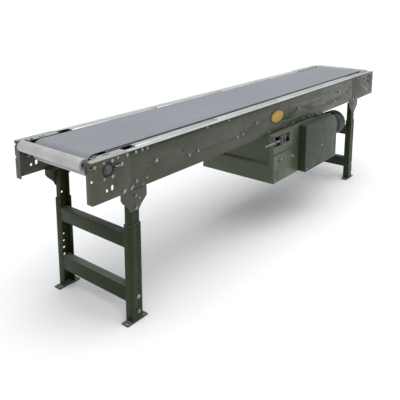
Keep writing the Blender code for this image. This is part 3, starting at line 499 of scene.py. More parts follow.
def gold():
    """Satin gold lacquer on a pressed badge, with darker lacquer left in its corners."""
    s = Surface("badge_gold", 0.34, 0.75)
    brushed = s.noise(40.0, 6.0, s.stretched((0.6, 1.0, 18.0)), 0.7)
    tone = s.mix(s.ranged(brushed, 0.3, 0.7), (0.440, 0.300, 0.050), (0.335, 0.215, 0.032))
    tone = s.mix(s.math("MULTIPLY", s.edges(0.0012), 0.55), tone, (0.10, 0.06, 0.012))
    tone = s.mix(s.ranged(s.noise(90.0), 0.58, 0.72, 0.0, 0.5, smooth=True), tone, (0.22, 0.135, 0.028))
    rough = s.ranged(brushed, 0.3, 0.7, 0.26, 0.44)
    return s.set(Base_Color=tone, Roughness=rough, Normal=s.bump(brushed, 0.00006, 0.5))


def badge_rim():
    s = Surface("badge_rim_lacquer_and_shadow", 0.38)
    # Near-black rim tones: partly the rim's dark lacquer, partly painted shade standing for the badge's shadow
    # on the web.
    tone = s.mix(s.ranged(s.noise(60.0), 0.3, 0.7), (0.012, 0.010, 0.006), (0.026, 0.020, 0.011))
    worn = s.math("MULTIPLY", s.edges(0.0010), s.ranged(s.noise(200.0), 0.45, 0.6, 0.0, 0.4, smooth=True))
    tone = s.mix(worn, tone, (0.20, 0.15, 0.06))
    return s.set(Base_Color=tone, Roughness=s.ranged(s.noise(90.0), 0.3, 0.7, 0.30, 0.48))


def backdrop():
    s = Surface("studio_paper", 0.80)
    tone = s.mix(s.ranged(s.noise(0.8, 2.0), 0.3, 0.7), (0.90, 0.90, 0.90), (0.92, 0.92, 0.92))
    return s.set(Base_Color=tone)


LOOKS = {
    "paint": paint(),
    # The rail's near-white tops are dust and painted glare on the top flange; its web gets the band of painted
    # shade under the flange.
    "rail": paint("green_enamel_rail", 0.92, painted_flange_shadow=True),
    # The bracket's strongly pale tops are partly dust and partly painted sheen.
    "bracket": paint("green_enamel_bracket", 0.62),
    # The stand's enamel is a darker copy of the green: painted shade for the dimmer light low down near the
    # floor. Its pale tops are partly painted sheen.
    "stand": paint("green_enamel_stand_painted_shade", 0.24, (0.52, 0.66, 0.40), 0.14),
    "guard": paint("green_enamel_guard", 0.03, (0.62, 0.72, 0.60), 0.22),
    "panel": paint("green_enamel_panel", 0.10, (1.78, 1.84, 1.84)),
    "belt": belting(),
    "carcass": carcass(),
    "steel": metal("turned_steel", (0.62, 0.62, 0.63), (0.46, 0.46, 0.47), 0.30, (1.0, 30.0, 1.0)),
    "tube": metal(
        "dulled_tube", (0.50, 0.49, 0.49), (0.38, 0.37, 0.37), 0.50, (1.0, 30.0, 1.0), metallic=0.10
    ),
    "dark_steel": metal("blackened_steel", (0.13, 0.12, 0.12), (0.07, 0.065, 0.065), 0.36, (6.0, 1.0, 6.0)),
    "shaft": metal("ground_steel", (0.66, 0.66, 0.66), (0.48, 0.48, 0.48), 0.30, (6.0, 1.0, 6.0)),
    "strip": metal("zinc_strip", (0.86, 0.89, 0.86), (0.70, 0.73, 0.70), 0.30, (0.5, 20.0, 20.0), 0.12, 0.18),
    "zinc": metal("zinc_plate", (0.44, 0.45, 0.43), (0.17, 0.17, 0.16), 0.34, (1.0, 1.0, 1.0), 0.16, 0.4),
    "chain": metal("oiled_chain", (0.26, 0.25, 0.23), (0.15, 0.14, 0.13), 0.36, (1.0, 1.0, 1.0), 0.12, 0.4),
    "cast": casting(),
    "black": black(),
    "rubber": rubber(),
    "gold": gold(),
    "rim": badge_rim(),
}


def dress(node, look):
    """Gives a carried-over CAD node its finished material."""
    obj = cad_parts[node]
    obj.data.materials.clear()
    obj.data.materials.append(LOOKS[look])


# Fasteners


def add_bolt(bm, at, across, height, direction, size=0.008, kind="hex"):
    """A hex bolt, nut, round carriage head or pan screw on its washer, standing along direction."""
    place = (at, across, height)
    washer = 0.0016
    flats = 0.92 * size
    tall = 0.62 * size
    lip = 0.10 * size
    spin = 0.7 * (1000 * (at + height) % 1.0)
    if kind != "pan":
        ring = [(0, 0), (1.18 * size, 0), (1.22 * size, 0.0004), (1.18 * size, washer), (0, washer)]
        add_lathe(bm, ring, place, direction, 20)
    if kind == "hex":
        top = washer + tall
        head = [(0, washer), (flats, washer), (flats, top - lip), (flats - lip, top), (0, top)]
        add_lathe(bm, head, place, direction, 6, spin)
    elif kind == "nut":
        tall = 0.80 * size
        top = washer + tall
        head = [
            (0, washer), (flats - lip, washer), (flats, washer + lip), (flats, top - lip), (flats - lip, top),
            (0, top),
        ]
        add_lathe(bm, head, place, direction, 6, spin)
        stud = [
            (0, top - 0.001), (0.46 * size, top - 0.001), (0.46 * size, top + 0.0020),
            (0.36 * size, top + 0.0030), (0, top + 0.0030),
        ]
        add_lathe(bm, stud, place, direction, 16)
    elif kind == "round":
        dome = arc((0, washer - 0.0002), 1.0, 0, 90, 5)
        head = [(0.95 * size * u, washer + 0.42 * size * (v - washer)) for u, v in dome[:-1]]
        add_lathe(bm, [(0, washer), *head, (0, washer + 0.42 * size)], place, direction, 20)
    else:
        dome = arc((0, 0), 1.0, 0, 90, 4)
        head = [(0.85 * size * u, 0.40 * size * v) for u, v in dome[:-1]]
        slot_r = 0.16 * size
        add_lathe(bm, [(0, 0), *head, (slot_r, 0.40 * size), (0, 0.22 * size)], place, direction, 16)
    return bm


def bolts(name, body, rows, look="zinc"):
    """One piece with a fastener for each row of add_bolt's settings."""
    bm = bmesh.new()
    for row in rows:
        add_bolt(bm, *row)
    return piece(name, bm, body, look, smooth=28)


def add_round_holes(bm, holes, start, end, radius=0.0048, sides=20):
    """Round cutters along Y at each (distance along, height)."""
    depth = end - start
    profile = [(0, 0), (radius, 0), (radius, depth), (0, depth)]
    for at, height in holes:
        add_lathe(bm, profile, (at, start, height), (0, 1, 0), sides)
    return bm


# Bed frame

# Bolts and holes of the side channels' webs: distance along, height and a bolt's size. Both sides are alike.
WEB_BOLTS = (
    (0.226, 0.7327, 0.0056), (0.261, 0.7335, 0.0056), (0.289, 0.7340, 0.0056), (0.203, 0.5953, 0.0056),
    (0.2234, 0.6134, 0.0072), (0.284, 0.612, 0.0064), (0.3395, 0.6686, 0.0076),
    (0.5506, 0.6373, 0.0070), (0.6134, 0.6412, 0.0066), (0.6850, 0.7345, 0.0046), (0.8550, 0.7345, 0.0046),
    (0.925, 0.636, 0.0066), (0.978, 0.637, 0.0060), (1.102, 0.6726, 0.0072), (1.555, 0.670, 0.0066),
    (2.059, 0.627, 0.0066), (2.121, 0.674, 0.0072),
)
WEB_HOLES = (
    (0.2906, 0.670), (0.3076, 0.6655), (0.5802, 0.6377), (0.9543, 0.649), (1.0545, 0.6735), (1.450, 0.6253),
    (1.585, 0.670), (1.691, 0.638), (1.934, 0.640), (2.0565, 0.6387), (2.240, 0.660), (2.298, 0.678),
)
DRIVE_BOLTS = (1.233, 1.405, 1.500, 1.625, 1.700, 1.790, 1.854)
SUPPORT_BOLTS = (-0.058, -0.020, 0.046)
SQUARE_HOLE = (0.507, 0.670, 0.0085)


def side_channels():
    for word, side in SIDES:
        node = "side_channel_" + word
        start, end = at_of(LOW[node].x), at_of(HIGH[node].x)
        top_flange, bottom_flange = WEB - CHANNEL_TOP_FLANGE, WEB - CHANNEL_BOTTOM_FLANGE
        path = [(bottom_flange, BOTTOM), (WEB, BOTTOM), (WEB, TOP), (top_flange, TOP)]
        bm = add_prism(bmesh.new(), mirrored(folded(path), side), "YZ", start, end)
        near, far = side * WEB - 0.012, side * WEB + 0.012
        cutter = add_round_holes(bmesh.new(), WEB_HOLES, near, far)
        at, height, half = SQUARE_HOLE
        add_box(cutter, (at - half, near, height - half), (at + half, far, height + half))
        piece(node + "_shell", bm, "bed", "rail", node, cutter, edge=0.0004)


def web_bolts():
    """The webs' bolts, and the dark plugs that close their holes from inside."""
    for word, side in SIDES:
        face, out = side * WEB, (0, side, 0)
        inner, outer = sorted((face - side * 0.0026, face - side * 0.0010))
        bm = add_round_holes(bmesh.new(), WEB_HOLES, inner, outer, 0.0046)
        at, height, half = SQUARE_HOLE
        half -= 0.0002
        add_box(bm, (at - half, inner, height - half), (at + half, outer, height + half))
        piece("web_plugs_" + word, bm, "bed", "rubber")
        bolts("web_bolts_" + word, "bed", [
            (at, face, height, out, size, "round" if size < 0.0065 else "hex")
            for at, height, size in WEB_BOLTS
        ])
        stop = LENGTH if side < 0 else at_of(HIGH["drive_side_plate_rear"].x)
        rows = [(at, face, BOTTOM + 0.0125, out, 0.0060, "round") for at in DRIVE_BOLTS if at < stop]
        bolts("drive_flange_bolts_" + word, "bed", rows)


# An end bracket's slots: distance from its end, height, length, width and lean in degrees.
BRACKET_SLOTS = (
    (0.0715, 0.6185, 0.0130, 0.0100, 90), (0.0985, 0.6235, 0.0220, 0.0125, 90),
    (0.1240, 0.7010, 0.0260, 0.0085, 0),
)


def bracket_cutter(end, side):
    """Openings of an end bracket's web and top flange, beyond those that its solid already has."""
    cutter = bmesh.new()
    near, far = side * WEB - 0.010, side * WEB + 0.010
    for at, height, long, wide, lean in BRACKET_SLOTS:
        add_prism(cutter, stadium((from_end(at, end), height), long, wide, lean), "XZ", near, far)
    slot = stadium((from_end(0.106, end), side * (WEB - 0.040)), 0.034, 0.007)
    add_prism(cutter, slot, "XY", TOP - 0.010, TOP + 0.010)
    groove, face = from_end(0.0337, end), side * WEB
    add_box(cutter, (groove - 0.0011, face - 0.0022, 0.6690), (groove + 0.0011, face + 0.0022, 0.7310))
    return cutter


# An end bracket's bolts: distance from its end, height and size.
BRACKET_BOLTS = (
    (0.0143, 0.7250, 0.0056), (0.1008, 0.7303, 0.0062), (0.1008, 0.6678, 0.0062), (0.0592, 0.7303, 0.0050),
    (0.0592, 0.6678, 0.0050), (0.1473, 0.7056, 0.0076), (0.1290, 0.7345, 0.0048),
)


def end_brackets():
    for end in ENDS:
        channel = LOW if end == "infeed" else HIGH
        joint = from_end(at_of(channel["side_channel_front"].x), end)
        rows = BRACKET_BOLTS + ((joint - 0.012, 0.7335, 0.0060), (joint - 0.028, 0.5920, 0.0056))
        for word, side in SIDES:
            node = f"{end}_bracket_{word}"
            cutter = bracket_cutter(end, side)
            piece(node + "_shell", cad_bmesh(node), "bed", "bracket", node, cutter, edge=0.0005)
            face, out = side * WEB, (0, side, 0)
            bolts(f"{end}_bracket_bolts_{word}", "bed", [
                (from_end(at, end), face, height, out, size, "round" if size < 0.0070 else "hex")
                for at, height, size in rows
            ])
            tracking_screw(end, word, side)
            bolts(f"{end}_bracket_nuts_{word}", "bed", [
                (from_end(0.058, end), side * (WEB - SHEET), 0.664, (0, -side, 0), 0.0066, "nut"),
                (from_end(0.052, end), side * (WEB - 0.046), TOP, (0, 0, 1), 0.0066),
            ])


def tracking_screw(end, word, side):
    """The screw beside each end bearing that sets the pulley square, with its lock nut."""
    place = (from_end(0.1120, end), side * (WEB + 0.0042), 0.7056)
    direction = (-1, 0, 0) if end == "outfeed" else (1, 0, 0)
    shank = [(0, 0), (0.0028, 0), (0.0034, 0.0008), (0.0034, 0.0225), (0.0028, 0.0233), (0, 0.0233)]
    nut = [
        (0.0034, 0.0120), (0.0060, 0.0120), (0.0064, 0.0126), (0.0064, 0.0164), (0.0060, 0.0170),
        (0.0034, 0.0170), (0.0034, 0.0120),
    ]
    bm = add_lathe(bmesh.new(), shank, place, direction, 16)
    piece(f"{end}_tracking_screw_{word}", add_lathe(bm, nut, place, direction, 6), "bed", "zinc", smooth=28)


def edge_strips():
    """Folded strips beside the belt, in four lengths a side with open joints."""
    joints, gap = (0.798, 1.374, 1.934), 0.0036
    for word, side in SIDES:
        node = "edge_strip_" + word
        low, high = span(node)
        inner, outer = sorted((abs(low.y), abs(high.y)))
        path = [(outer, low.z), (outer, high.z), (inner, high.z), (inner, low.z)]
        outline = mirrored(folded(path, THIN, 0.0015), side)
        starts = [low.x, *(joint + gap for joint in joints)]
        ends = [*(joint - gap for joint in joints), high.x]
        for number, (start, end) in enumerate(zip(starts, ends), 1):
            bm = add_prism(bmesh.new(), outline, "YZ", start, end)
            piece(f"{node}_{number}", bm, "bed", "strip", node if number == 1 else (), edge=0.0003)
        beside_joints = [joint + step for joint in joints for step in (-0.014, 0.014)]
        screws = [low.x + 0.012, *beside_joints, high.x - 0.012]
        across, up = side * (inner + outer) / 2, (0, 0, 1)
        bolts("strip_screws_" + word, "bed", [(at, across, high.z, up, 0.0042, "pan") for at in screws])
        # A dark rubber strip in the groove between edge strip and top flange: painted shade standing for the
        # groove's shadow.
        near, far = side * (outer + 0.0002), side * (WEB - CHANNEL_TOP_FLANGE - 0.0002)
        bm = add_box(bmesh.new(), (low.x, near, TOP - 0.0120), (high.x, far, TOP - 0.0003))
        piece("groove_shadow_strip_" + word, bm, "bed", "rubber")


def slider_pan():
    low, high = span("slider_pan")
    path = [(high.y, low.z), (high.y, high.z), (low.y, high.z), (low.y, low.z)]
    bm = add_prism(bmesh.new(), folded(path), "YZ", low.x, high.x)
    # The pan's blackened steel is partly painted shade: its margin between belt and edge strip shows as the
    # dark line of the gap's shadow.
    piece("slider_bed", bm, "bed", "dark_steel", "slider_pan", edge=0.0004)


def cross_members():
    for number in range(1, 5):
        node = f"cross_member_{number}"
        low, high = span(node)
        path = [(high.x, low.z), (high.x, high.z), (low.x, high.z), (low.x, low.z)]
        bm = add_prism(bmesh.new(), folded(path), "XZ", low.y, high.y)
        piece(node + "_channel", bm, "bed", "paint", node, edge=0.0004)


def name_plate():
    """A blank oval badge: a dark rim whose near-black tone is partly painted shade, a raised gold border and a
    plain dished field.
    """
    low, high = span("name_plate")
    at, height = (low.x + high.x) / 2, (low.z + high.z) / 2
    half_u, half_v, back = (high.x - low.x) / 2, (high.z - low.z) / 2, high.y

    def ovals(profile):
        """Rings of an oval, from (inset from the outer edge, distance proud of the web) points."""
        bm = bmesh.new()
        rings = [[
            bm.verts.new((at + (half_u - inset) * u, back - proud, height + (half_v - inset) * v))
            for u, v in around(64, 1.0)
        ] for inset, proud in profile]
        add_skin(bm, rings)
        bm.faces.new(rings[0])
        bm.faces.new(rings[-1])
        bmesh.ops.recalc_face_normals(bm, faces=bm.faces)
        return bm

    rim = ovals([(0.0, 0.0), (0.0, 0.0016), (0.0006, 0.0022), (0.0090, 0.0022)])
    piece("badge_rim", rim, "bed", "rim", "name_plate")
    border = [
        (0.0095, 0.0018), (0.0095, 0.0026), (0.0103, 0.0030), (0.0130, 0.0030), (0.0140, 0.0024),
        (0.0200, 0.0025), (0.0280, 0.0028), (0.0350, 0.0029),
    ]
    piece("badge_plate", ovals(border), "bed", "gold")
    reach, out = half_u - 0.0185, (0, -1, 0)
    rows = [(u, back - 0.0024, height, out, 0.0030, "pan") for u in (at - reach, at + reach)]
    bolts("badge_rivets", "bed", rows, "gold")


# Belt and rollers

BELT = 0.003
BELT_CLEAR = 0.0006


def belt_line():
    """The belt's middle line: closed (along, height) points, each with the way across the thickness."""
    half = BELT / 2 + BELT_CLEAR
    wheels = []
    for node, turn in (
        ("tail_pulley", 1), ("head_pulley", 1), ("snub_idler_outfeed", -1), ("drive_pulley", 1),
        ("take_up_pulley", 1), ("snub_idler_infeed", -1),
    ):
        centre = middle(node)
        wheels.append((centre.x, centre.z, radius_of(node) + half, turn))
    headings = []
    for i, (ax, az, ar, aturn) in enumerate(wheels):
        bx, bz, br, bturn = wheels[(i + 1) % len(wheels)]
        slope = math.atan2(bz - az, bx - ax)
        headings.append(slope + math.asin((bturn * br - aturn * ar) / math.hypot(bx - ax, bz - az)))
    points = []
    for i, (x, z, radius, turn) in enumerate(wheels):
        arrive = headings[i - 1]
        sweep = (turn * (arrive - headings[i])) % (2 * math.pi)
        count = max(2, round(sweep / math.radians(4)))
        for k in range(count + 1):
            angle = arrive - turn * sweep * k / count + turn * math.pi / 2
            spoke = Vector((math.cos(angle), math.sin(angle)))
            points.append((Vector((x, z)) + radius * spoke, turn * spoke))
    return points


def conveyor_belt():
    """A band with a rubber cover outside, fabric inside and softened cut edges."""
    half_width = (HIGH["conveyor_belt"].y - LOW["conveyor_belt"].y) / 2
    half, soft = BELT / 2, 0.0006
    section = [
        (half_width - soft, half), (half_width, half - soft), (half_width, soft - half),
        (half_width - soft, -half), (soft - half_width, -half), (-half_width, soft - half),
        (-half_width, half - soft), (soft - half_width, half),
    ]
    bm = bmesh.new()
    rings = []
    for line, way in belt_line():
        places = [(line + way * out, across) for across, out in section]
        rings.append([bm.verts.new((place.x, across, place.y)) for place, across in places])
    for i, face in enumerate(add_skin(bm, rings, closed=True)):
        face.material_index = 0 if i % len(section) == len(section) - 1 else 1
    bmesh.ops.recalc_face_normals(bm, faces=bm.faces)
    piece("belt_band", bm, "bed", ("belt", "carcass"), "conveyor_belt")
    lacing(half_width)


def lacing(half_width):
    """Wire hooks of the belt's mechanical splice, on its return run."""
    lowest = middle("tail_pulley").z - radius_of("tail_pulley") - BELT_CLEAR - BELT
    at, pitch, wire, margin = 0.900, 0.0052, 0.0007, 0.006
    bm = bmesh.new()
    for i in range(int(2 * (half_width - margin) / pitch)):
        across = -half_width + margin + i * pitch
        for side in (-1, 1):
            low = (at + side * 0.0005, across - wire, lowest - 0.0009)
            add_box(bm, low, (at + side * 0.0085, across + wire, lowest + 0.0004))
    piece("belt_lacing", bm, "bed", "zinc", edge=0.0003, segments=1)


def roller(node, body, look, profile, name=None):
    """A turned piece about a node's axis, from a profile in radii and distances across."""
    centre = middle(node)
    place = (centre.x, 0.0, centre.z)
    return turned(name or node + "_turned", body, look, profile, place, (0, 1, 0), ROUND, node)


def rollers():
    for node in ("tail_pulley", "head_pulley", "take_up_pulley"):
        low, high = across_of(LOW[node].y), across_of(HIGH[node].y)
        if node != "take_up_pulley":
            low, high = (low - high) / 2, (high - low) / 2
        roller(node, node, "dark_steel", pulley_profile(radius_of(node), 0.0151, -low, high, 0.178))
    for end in ENDS:
        for node in ("snub_idler_" + end, "return_roller_" + end):
            reach = (HIGH[node].y - LOW[node].y) / 2
            radius, tube, cap, bore = radius_of(node), 0.190, 0.186, 0.0056
            profile = [
                (0, -reach), (bore, -reach), (bore, -cap), (0.0105, -cap), (0.0115, 0.001 - cap),
                (radius - 0.006, 0.001 - cap), (radius - 0.0035, -tube), (radius - 0.001, -tube),
                (radius, 0.001 - tube),
            ]
            roller(node, node, "steel", both_ends(profile))
        pop_out_roller(end)


def pulley_profile(radius, shaft, front, rear, face):
    """A crowned pulley with end discs, a raised hub and a shaft that reaches -front and rear."""
    hub, rim, disc = shaft + 0.012, radius - 0.006, face - 0.012
    chamfer = 0.0012

    def half(reach, sign):
        return [
            (0.0, sign * reach), (shaft - chamfer, sign * reach), (shaft, sign * (reach - chamfer)),
            (shaft, sign * (face - 0.001)), (hub, sign * (face - 0.001)), (hub, sign * disc),
            (rim, sign * disc),
            (rim, sign * (face - 0.0008)), (rim + 0.001, sign * face), (radius - 0.0018, sign * face),
            (radius - 0.0006, sign * (face - 0.0012)),
        ]

    crown = [(radius - 0.0001, -0.06), (radius, 0.0), (radius - 0.0001, 0.06)]
    return half(front, -1) + crown + half(rear, 1)[::-1]


def both_ends(half):
    """A profile that is the same at both ends of its axis, from its first half."""
    return half + [(radius, -along) for radius, along in reversed(half)]


def pop_out_roller(end):
    """A bright tube with pressed end bearings, on a hexagonal axle."""
    node, axle = "pop_out_roller_" + end, "pop_out_shaft_" + end
    body = end + "_pop_out_roller"
    radius, face = radius_of(node), (HIGH[node].y - LOW[node].y) / 2
    centre = middle(node)
    half = [
        (0.0063, 0.004 - face), (0.0088, 0.004 - face), (0.0092, 0.0055 - face), (0.0170, 0.0055 - face),
        (0.0182, 0.0030 - face), (0.0200, 0.0012 - face), (radius - 0.0028, -face), (radius - 0.0012, -face),
        (radius - 0.0003, 0.0009 - face), (radius, 0.0022 - face),
    ]
    roller(node, body, "tube", both_ends(half) + half[:1])
    seal = [(0.0064, 0), (0.0090, 0), (0.0090, 0.0012), (0.0064, 0.0012), (0.0064, 0)]
    bm = bmesh.new()
    for sign in (-1, 1):
        add_lathe(bm, seal, (centre.x, sign * (face - 0.0042), centre.z), (0, sign, 0), 32)
    piece(f"pop_out_seals_{end}", bm, body, "rubber")
    reach, corner, chamfer = (HIGH[axle].y - LOW[axle].y) / 2, 0.00545, 0.0008
    bar = both_ends([(0, -reach), (corner - chamfer, -reach), (corner, chamfer - reach)])
    turned(axle + "_hex", end + "_pop_out", "zinc", bar, (centre.x, 0.0, centre.z), (0, 1, 0), 6, axle)


def end_bearings():
    """Flanged bearings seen through the bracket's opening: a housing, a seal and an inner ring."""
    face, back = WEB - 0.0005, WEB - 0.0150
    housing = [
        (0.0250, back), (0.0362, back), (0.0362, WEB - 0.0035), (0.0300, WEB - 0.0035),
        (0.0300, face - 0.0006), (0.0292, face), (0.0262, face), (0.0250, face - 0.0014), (0.0250, back),
    ]
    seal = [(0.0200, back), (0.0249, back), (0.0249, face - 0.0040), (0.0200, face - 0.0034), (0.0200, back)]
    race = [
        (0.01545, back), (0.0199, back), (0.0199, face - 0.0010), (0.0194, face - 0.0004),
        (0.01595, face - 0.0004), (0.01545, face - 0.0010), (0.01545, back),
    ]
    for pulley in ("tail", "head"):
        centre = middle(f"{pulley}_pulley")
        for word, side in SIDES:
            node = f"{pulley}_bearing_{word}"
            place, out = (centre.x, 0.0, centre.z), (0, side, 0)
            turned(f"{node}_housing", "bed", "black", housing, place, out, ROUND, node)
            turned(f"{node}_seal", "bed", "rubber", seal, place, out)
            turned(f"{node}_ring", "bed", "dark_steel", race, place, out)


# Drive unit

# The side plates' outer faces, across. Holes and bolts: distance from the plate's infeed edge, and height.
PLATE_FACES = {"front": -0.281, "rear": 0.202}
PLATE_HOLES = ((0.052, 0.428), (0.235, 0.350))
PLATE_BOLTS = ((0.077, 0.434), (0.053, 0.357), (0.205, 0.420), (0.238, 0.560))
COVER_SHEET = 0.0016


def drive_side_plates():
    pulley = middle("drive_pulley")
    collar = [
        (0.0180, 0), (0.0275, 0), (0.0275, 0.0045), (0.0262, 0.0058), (0.0192, 0.0058), (0.0180, 0.0045),
        (0.0180, 0),
    ]
    for word, side in SIDES:
        node = "drive_side_plate_" + word
        low, high = span(node)
        face, out = PLATE_FACES[word], (0, side, 0)
        holes = [(low.x + at, height) for at, height in PLATE_HOLES]
        cutter = add_round_holes(bmesh.new(), holes, face - 0.009, face + 0.009, 0.0060)
        piece(node + "_shell", cad_bmesh(node), "bed", "panel", node, cutter, edge=0.0005)
        outer = face + side * COVER_SHEET
        rows = [(low.x + at, outer, height, out, 0.0078) for at, height in PLATE_BOLTS]
        low_bolts = (low.x + 0.020, low.x + 0.215, high.x - 0.030)
        rows += [(at, face, low.z + 0.014, out, 0.0062, "round") for at in low_bolts]
        bolts(f"drive_plate_bolts_{word}", "bed", rows)
        heads = [arc((pulley.x, pulley.z), 0.033, angle, angle, 1)[0] for angle in (30, 150, 270)]
        bolts(f"drive_bearing_bolts_{word}", "bed", [(u, face, v, out, 0.0066) for u, v in heads])
        if side > 0:
            place = (pulley.x, face, pulley.z)
            turned("drive_bearing_collar_rear", "bed", "dark_steel", collar, place, out)
        take_up_window(word, side, face)
        lower_cover(word, side, face, low)


def take_up_window(word, side, face):
    """Guide rails along the window's edges, with the screws that hold them."""
    block = "take_up_block_" + word
    centre, half = middle(block).z, (HIGH[block].z - LOW[block].z) / 2
    start, end = 1.232, 1.392
    outer = face + side * 0.0052
    rails, rows = bmesh.new(), []
    for sign in (-1, 1):
        near, far = centre + sign * (half + 0.0012), centre + sign * (half + 0.0075)
        add_box(rails, (start - 0.004, face + side * 0.0002, near), (end + 0.004, outer, far))
        height = (near + far) / 2
        rows += [(at, outer, height, (0, side, 0), 0.0040, "pan") for at in (start + 0.012, end - 0.012)]
    piece(f"take_up_rails_{word}", rails, "bed", "panel", edge=0.0006)
    bolts(f"take_up_rail_screws_{word}", "bed", rows)


def lower_cover(word, side, face, low):
    """A thin access sheet over the lower part of the side plate, with a turned top edge."""
    start, end = low.x + 0.003, low.x + (0.229 if side < 0 else 0.180)
    top, outer = 0.468, face + side * COVER_SHEET
    sheet = add_box(bmesh.new(), (start, face + side * 0.0001, low.z + 0.001), (end, outer, top))
    lip = add_box(bmesh.new(), (start, outer, top - COVER_SHEET), (end, outer + side * 0.0050, top))
    at, height = PLATE_HOLES[0]
    cutter = add_round_holes(bmesh.new(), [(low.x + at, height)], face - 0.009, face + 0.009, 0.0060)
    piece(f"drive_access_sheet_{word}", sheet, "bed", "panel", (), cutter, edge=0.0003)
    piece(f"drive_access_lip_{word}", lip, "bed", "panel", edge=0.0003)


def take_ups():
    anchor = at_of(LOW["drive_side_plate_front"].x)
    race = [
        (0.0163, 0), (0.0240, 0), (0.0240, 0.0010), (0.0232, 0.0018), (0.0171, 0.0018), (0.0163, 0.0010),
        (0.0163, 0),
    ]
    for word, side in SIDES:
        block, screw = "take_up_block_" + word, "take_up_screw_" + word
        piece(block + "_cast", cad_bmesh(block), "take_up", "cast", block, edge=0.0014, segments=3)
        centre = middle(block)
        face = across_of(LOW[block].y if side < 0 else HIGH[block].y)
        turned(block + "_race", "take_up", "dark_steel", race, (centre.x, face, centre.z), (0, side, 0))
        low, high = span(screw)
        length, major, pitch = high.x - low.x, (high.z - low.z) / 2, 0.0018
        minor = major - 0.0007
        thread = [(0, 0), (minor - 0.0008, 0), (minor, 0.0008)]
        for i in range(int((length - 0.002) / pitch)):
            start = 0.001 + i * pitch
            for radius, share in ((minor, 0.0), (major, 0.35), (major, 0.60), (minor, 0.95)):
                thread.append((radius, start + share * pitch))
        thread += [(minor, length), (0, length)]
        across, height = (low.y + high.y) / 2, (low.z + high.z) / 2
        place, along = (low.x, across, height), (1, 0, 0)
        turned(screw + "_thread", "take_up", "zinc", thread, place, along, 16, screw, smooth=25)
        bore = major + GAP
        nut = [(0.0082, 0), (0.0088, 0.0006), (0.0088, 0.0062), (0.0082, 0.0068)]
        nut = [(bore, 0), *nut, (bore, 0.0068), (bore, 0)]
        place = (anchor - 0.0072, across, height)
        turned(f"take_up_nut_{word}", "bed", "zinc", nut, place, along, 6, smooth=28)


def drive_belly_pan():
    node = "drive_belly_pan"
    low, high = span(node)
    lip, back, seam = 0.410, low.x + 0.0155, 0.0030
    path = [(low.x, lip), (low.x, low.z), (high.x, low.z), (high.x, lip)]
    bm = add_prism(bmesh.new(), folded(path, SHEET, 0.002), "XZ", low.y, high.y)
    piece("belly_pan_trough", bm, "bed", "panel", node, edge=0.0005)
    panel = folded([(low.x + 0.001, lip + seam), (back, lip + seam), (back, high.z)], SHEET, 0.0015)
    bm = add_prism(bmesh.new(), panel, "XZ", low.y + seam, high.y - seam)
    piece("belly_pan_panel", bm, "bed", "panel", edge=0.0004)
    # A dark rubber strip down the recessed panel: painted shade standing for the shadow line beside the corner
    # flange.
    beside = across_of(LOW["drive_side_plate_front"].y) + 0.0400
    corner = (back - 0.0020, beside, lip + seam + SHEET)
    bm = add_box(bmesh.new(), corner, (back + 0.0005, beside + 0.0045, high.z))
    piece("belly_pan_shadow_strip", bm, "bed", "rubber", edge=0.0004)
    screws = (low.y + 0.030, (low.y + high.y) / 2, high.y - 0.030)
    rows = [(back - SHEET, across, high.z - 0.020, (-1, 0, 0), 0.0050, "pan") for across in screws]
    bolts("belly_pan_screws", "bed", rows)


def guard_outline(inset):
    """The chain guard's side view, with the corner near the reducer rounded about its sprocket."""
    low, high = span("chain_guard")
    start, end, bottom, top = low.x + inset, high.x - inset, low.z + inset, high.z - inset
    wide, small = 0.080 - inset, max(0.012 - inset, 0.004)
    corners = [
        ((start + small, bottom + small), small, 180, 270, 4),
        ((end - small, bottom + small), small, 270, 360, 4),
        ((end - wide, top - wide), wide, 0, 90, 16),
        ((start + small, top - small), small, 90, 180, 4),
    ]
    return [point for corner in corners for point in arc(*corner)]


def chain_guard():
    """A pressed cover with softly rounded front edges and the bolts that hold it."""
    low, high = span("chain_guard")
    soft = 0.0035
    bm = bmesh.new()
    levels = [(0.0, high.y)]
    levels += [(soft - soft * u, low.y + soft - soft * v) for u, v in arc((0, 0), 1.0, 0, 90, 5)]
    rings = [[bm.verts.new((u, across, v)) for u, v in guard_outline(inset)] for inset, across in levels]
    add_skin(bm, rings)
    front = bm.faces.new(rings[-1])
    bmesh.ops.recalc_face_normals(bm, faces=bm.faces)
    if front.normal.y > 0:
        bmesh.ops.reverse_faces(bm, faces=bm.faces)
    bmesh.ops.solidify(bm, geom=bm.faces[:], thickness=THIN)
    piece("chain_guard_shell", bm, "bed", "guard", "chain_guard")
    out, height = (0, -1, 0), low.z + 0.020
    rows = [(1.700, low.y, 0.431, out, 0.0078)]
    rows += [(at, low.y, height, out, 0.0050, "pan") for at in (low.x + 0.020, high.x - 0.020)]
    bolts("chain_guard_bolts", "bed", rows)


CHAIN_PITCH = 0.015875
# Node, teeth, bore and hub radii, and body.
SPROCKETS = (
    ("drive_sprocket", 24, 0.0178, 0.030, "drive_pulley"),
    ("reducer_sprocket", 15, 0.0128, 0.022, "reducer_output"),
)


def pitch_radius(teeth):
    """The radius of the circle on which a sprocket carries the chain's pins."""
    return CHAIN_PITCH / 2 / math.sin(math.pi / teeth)


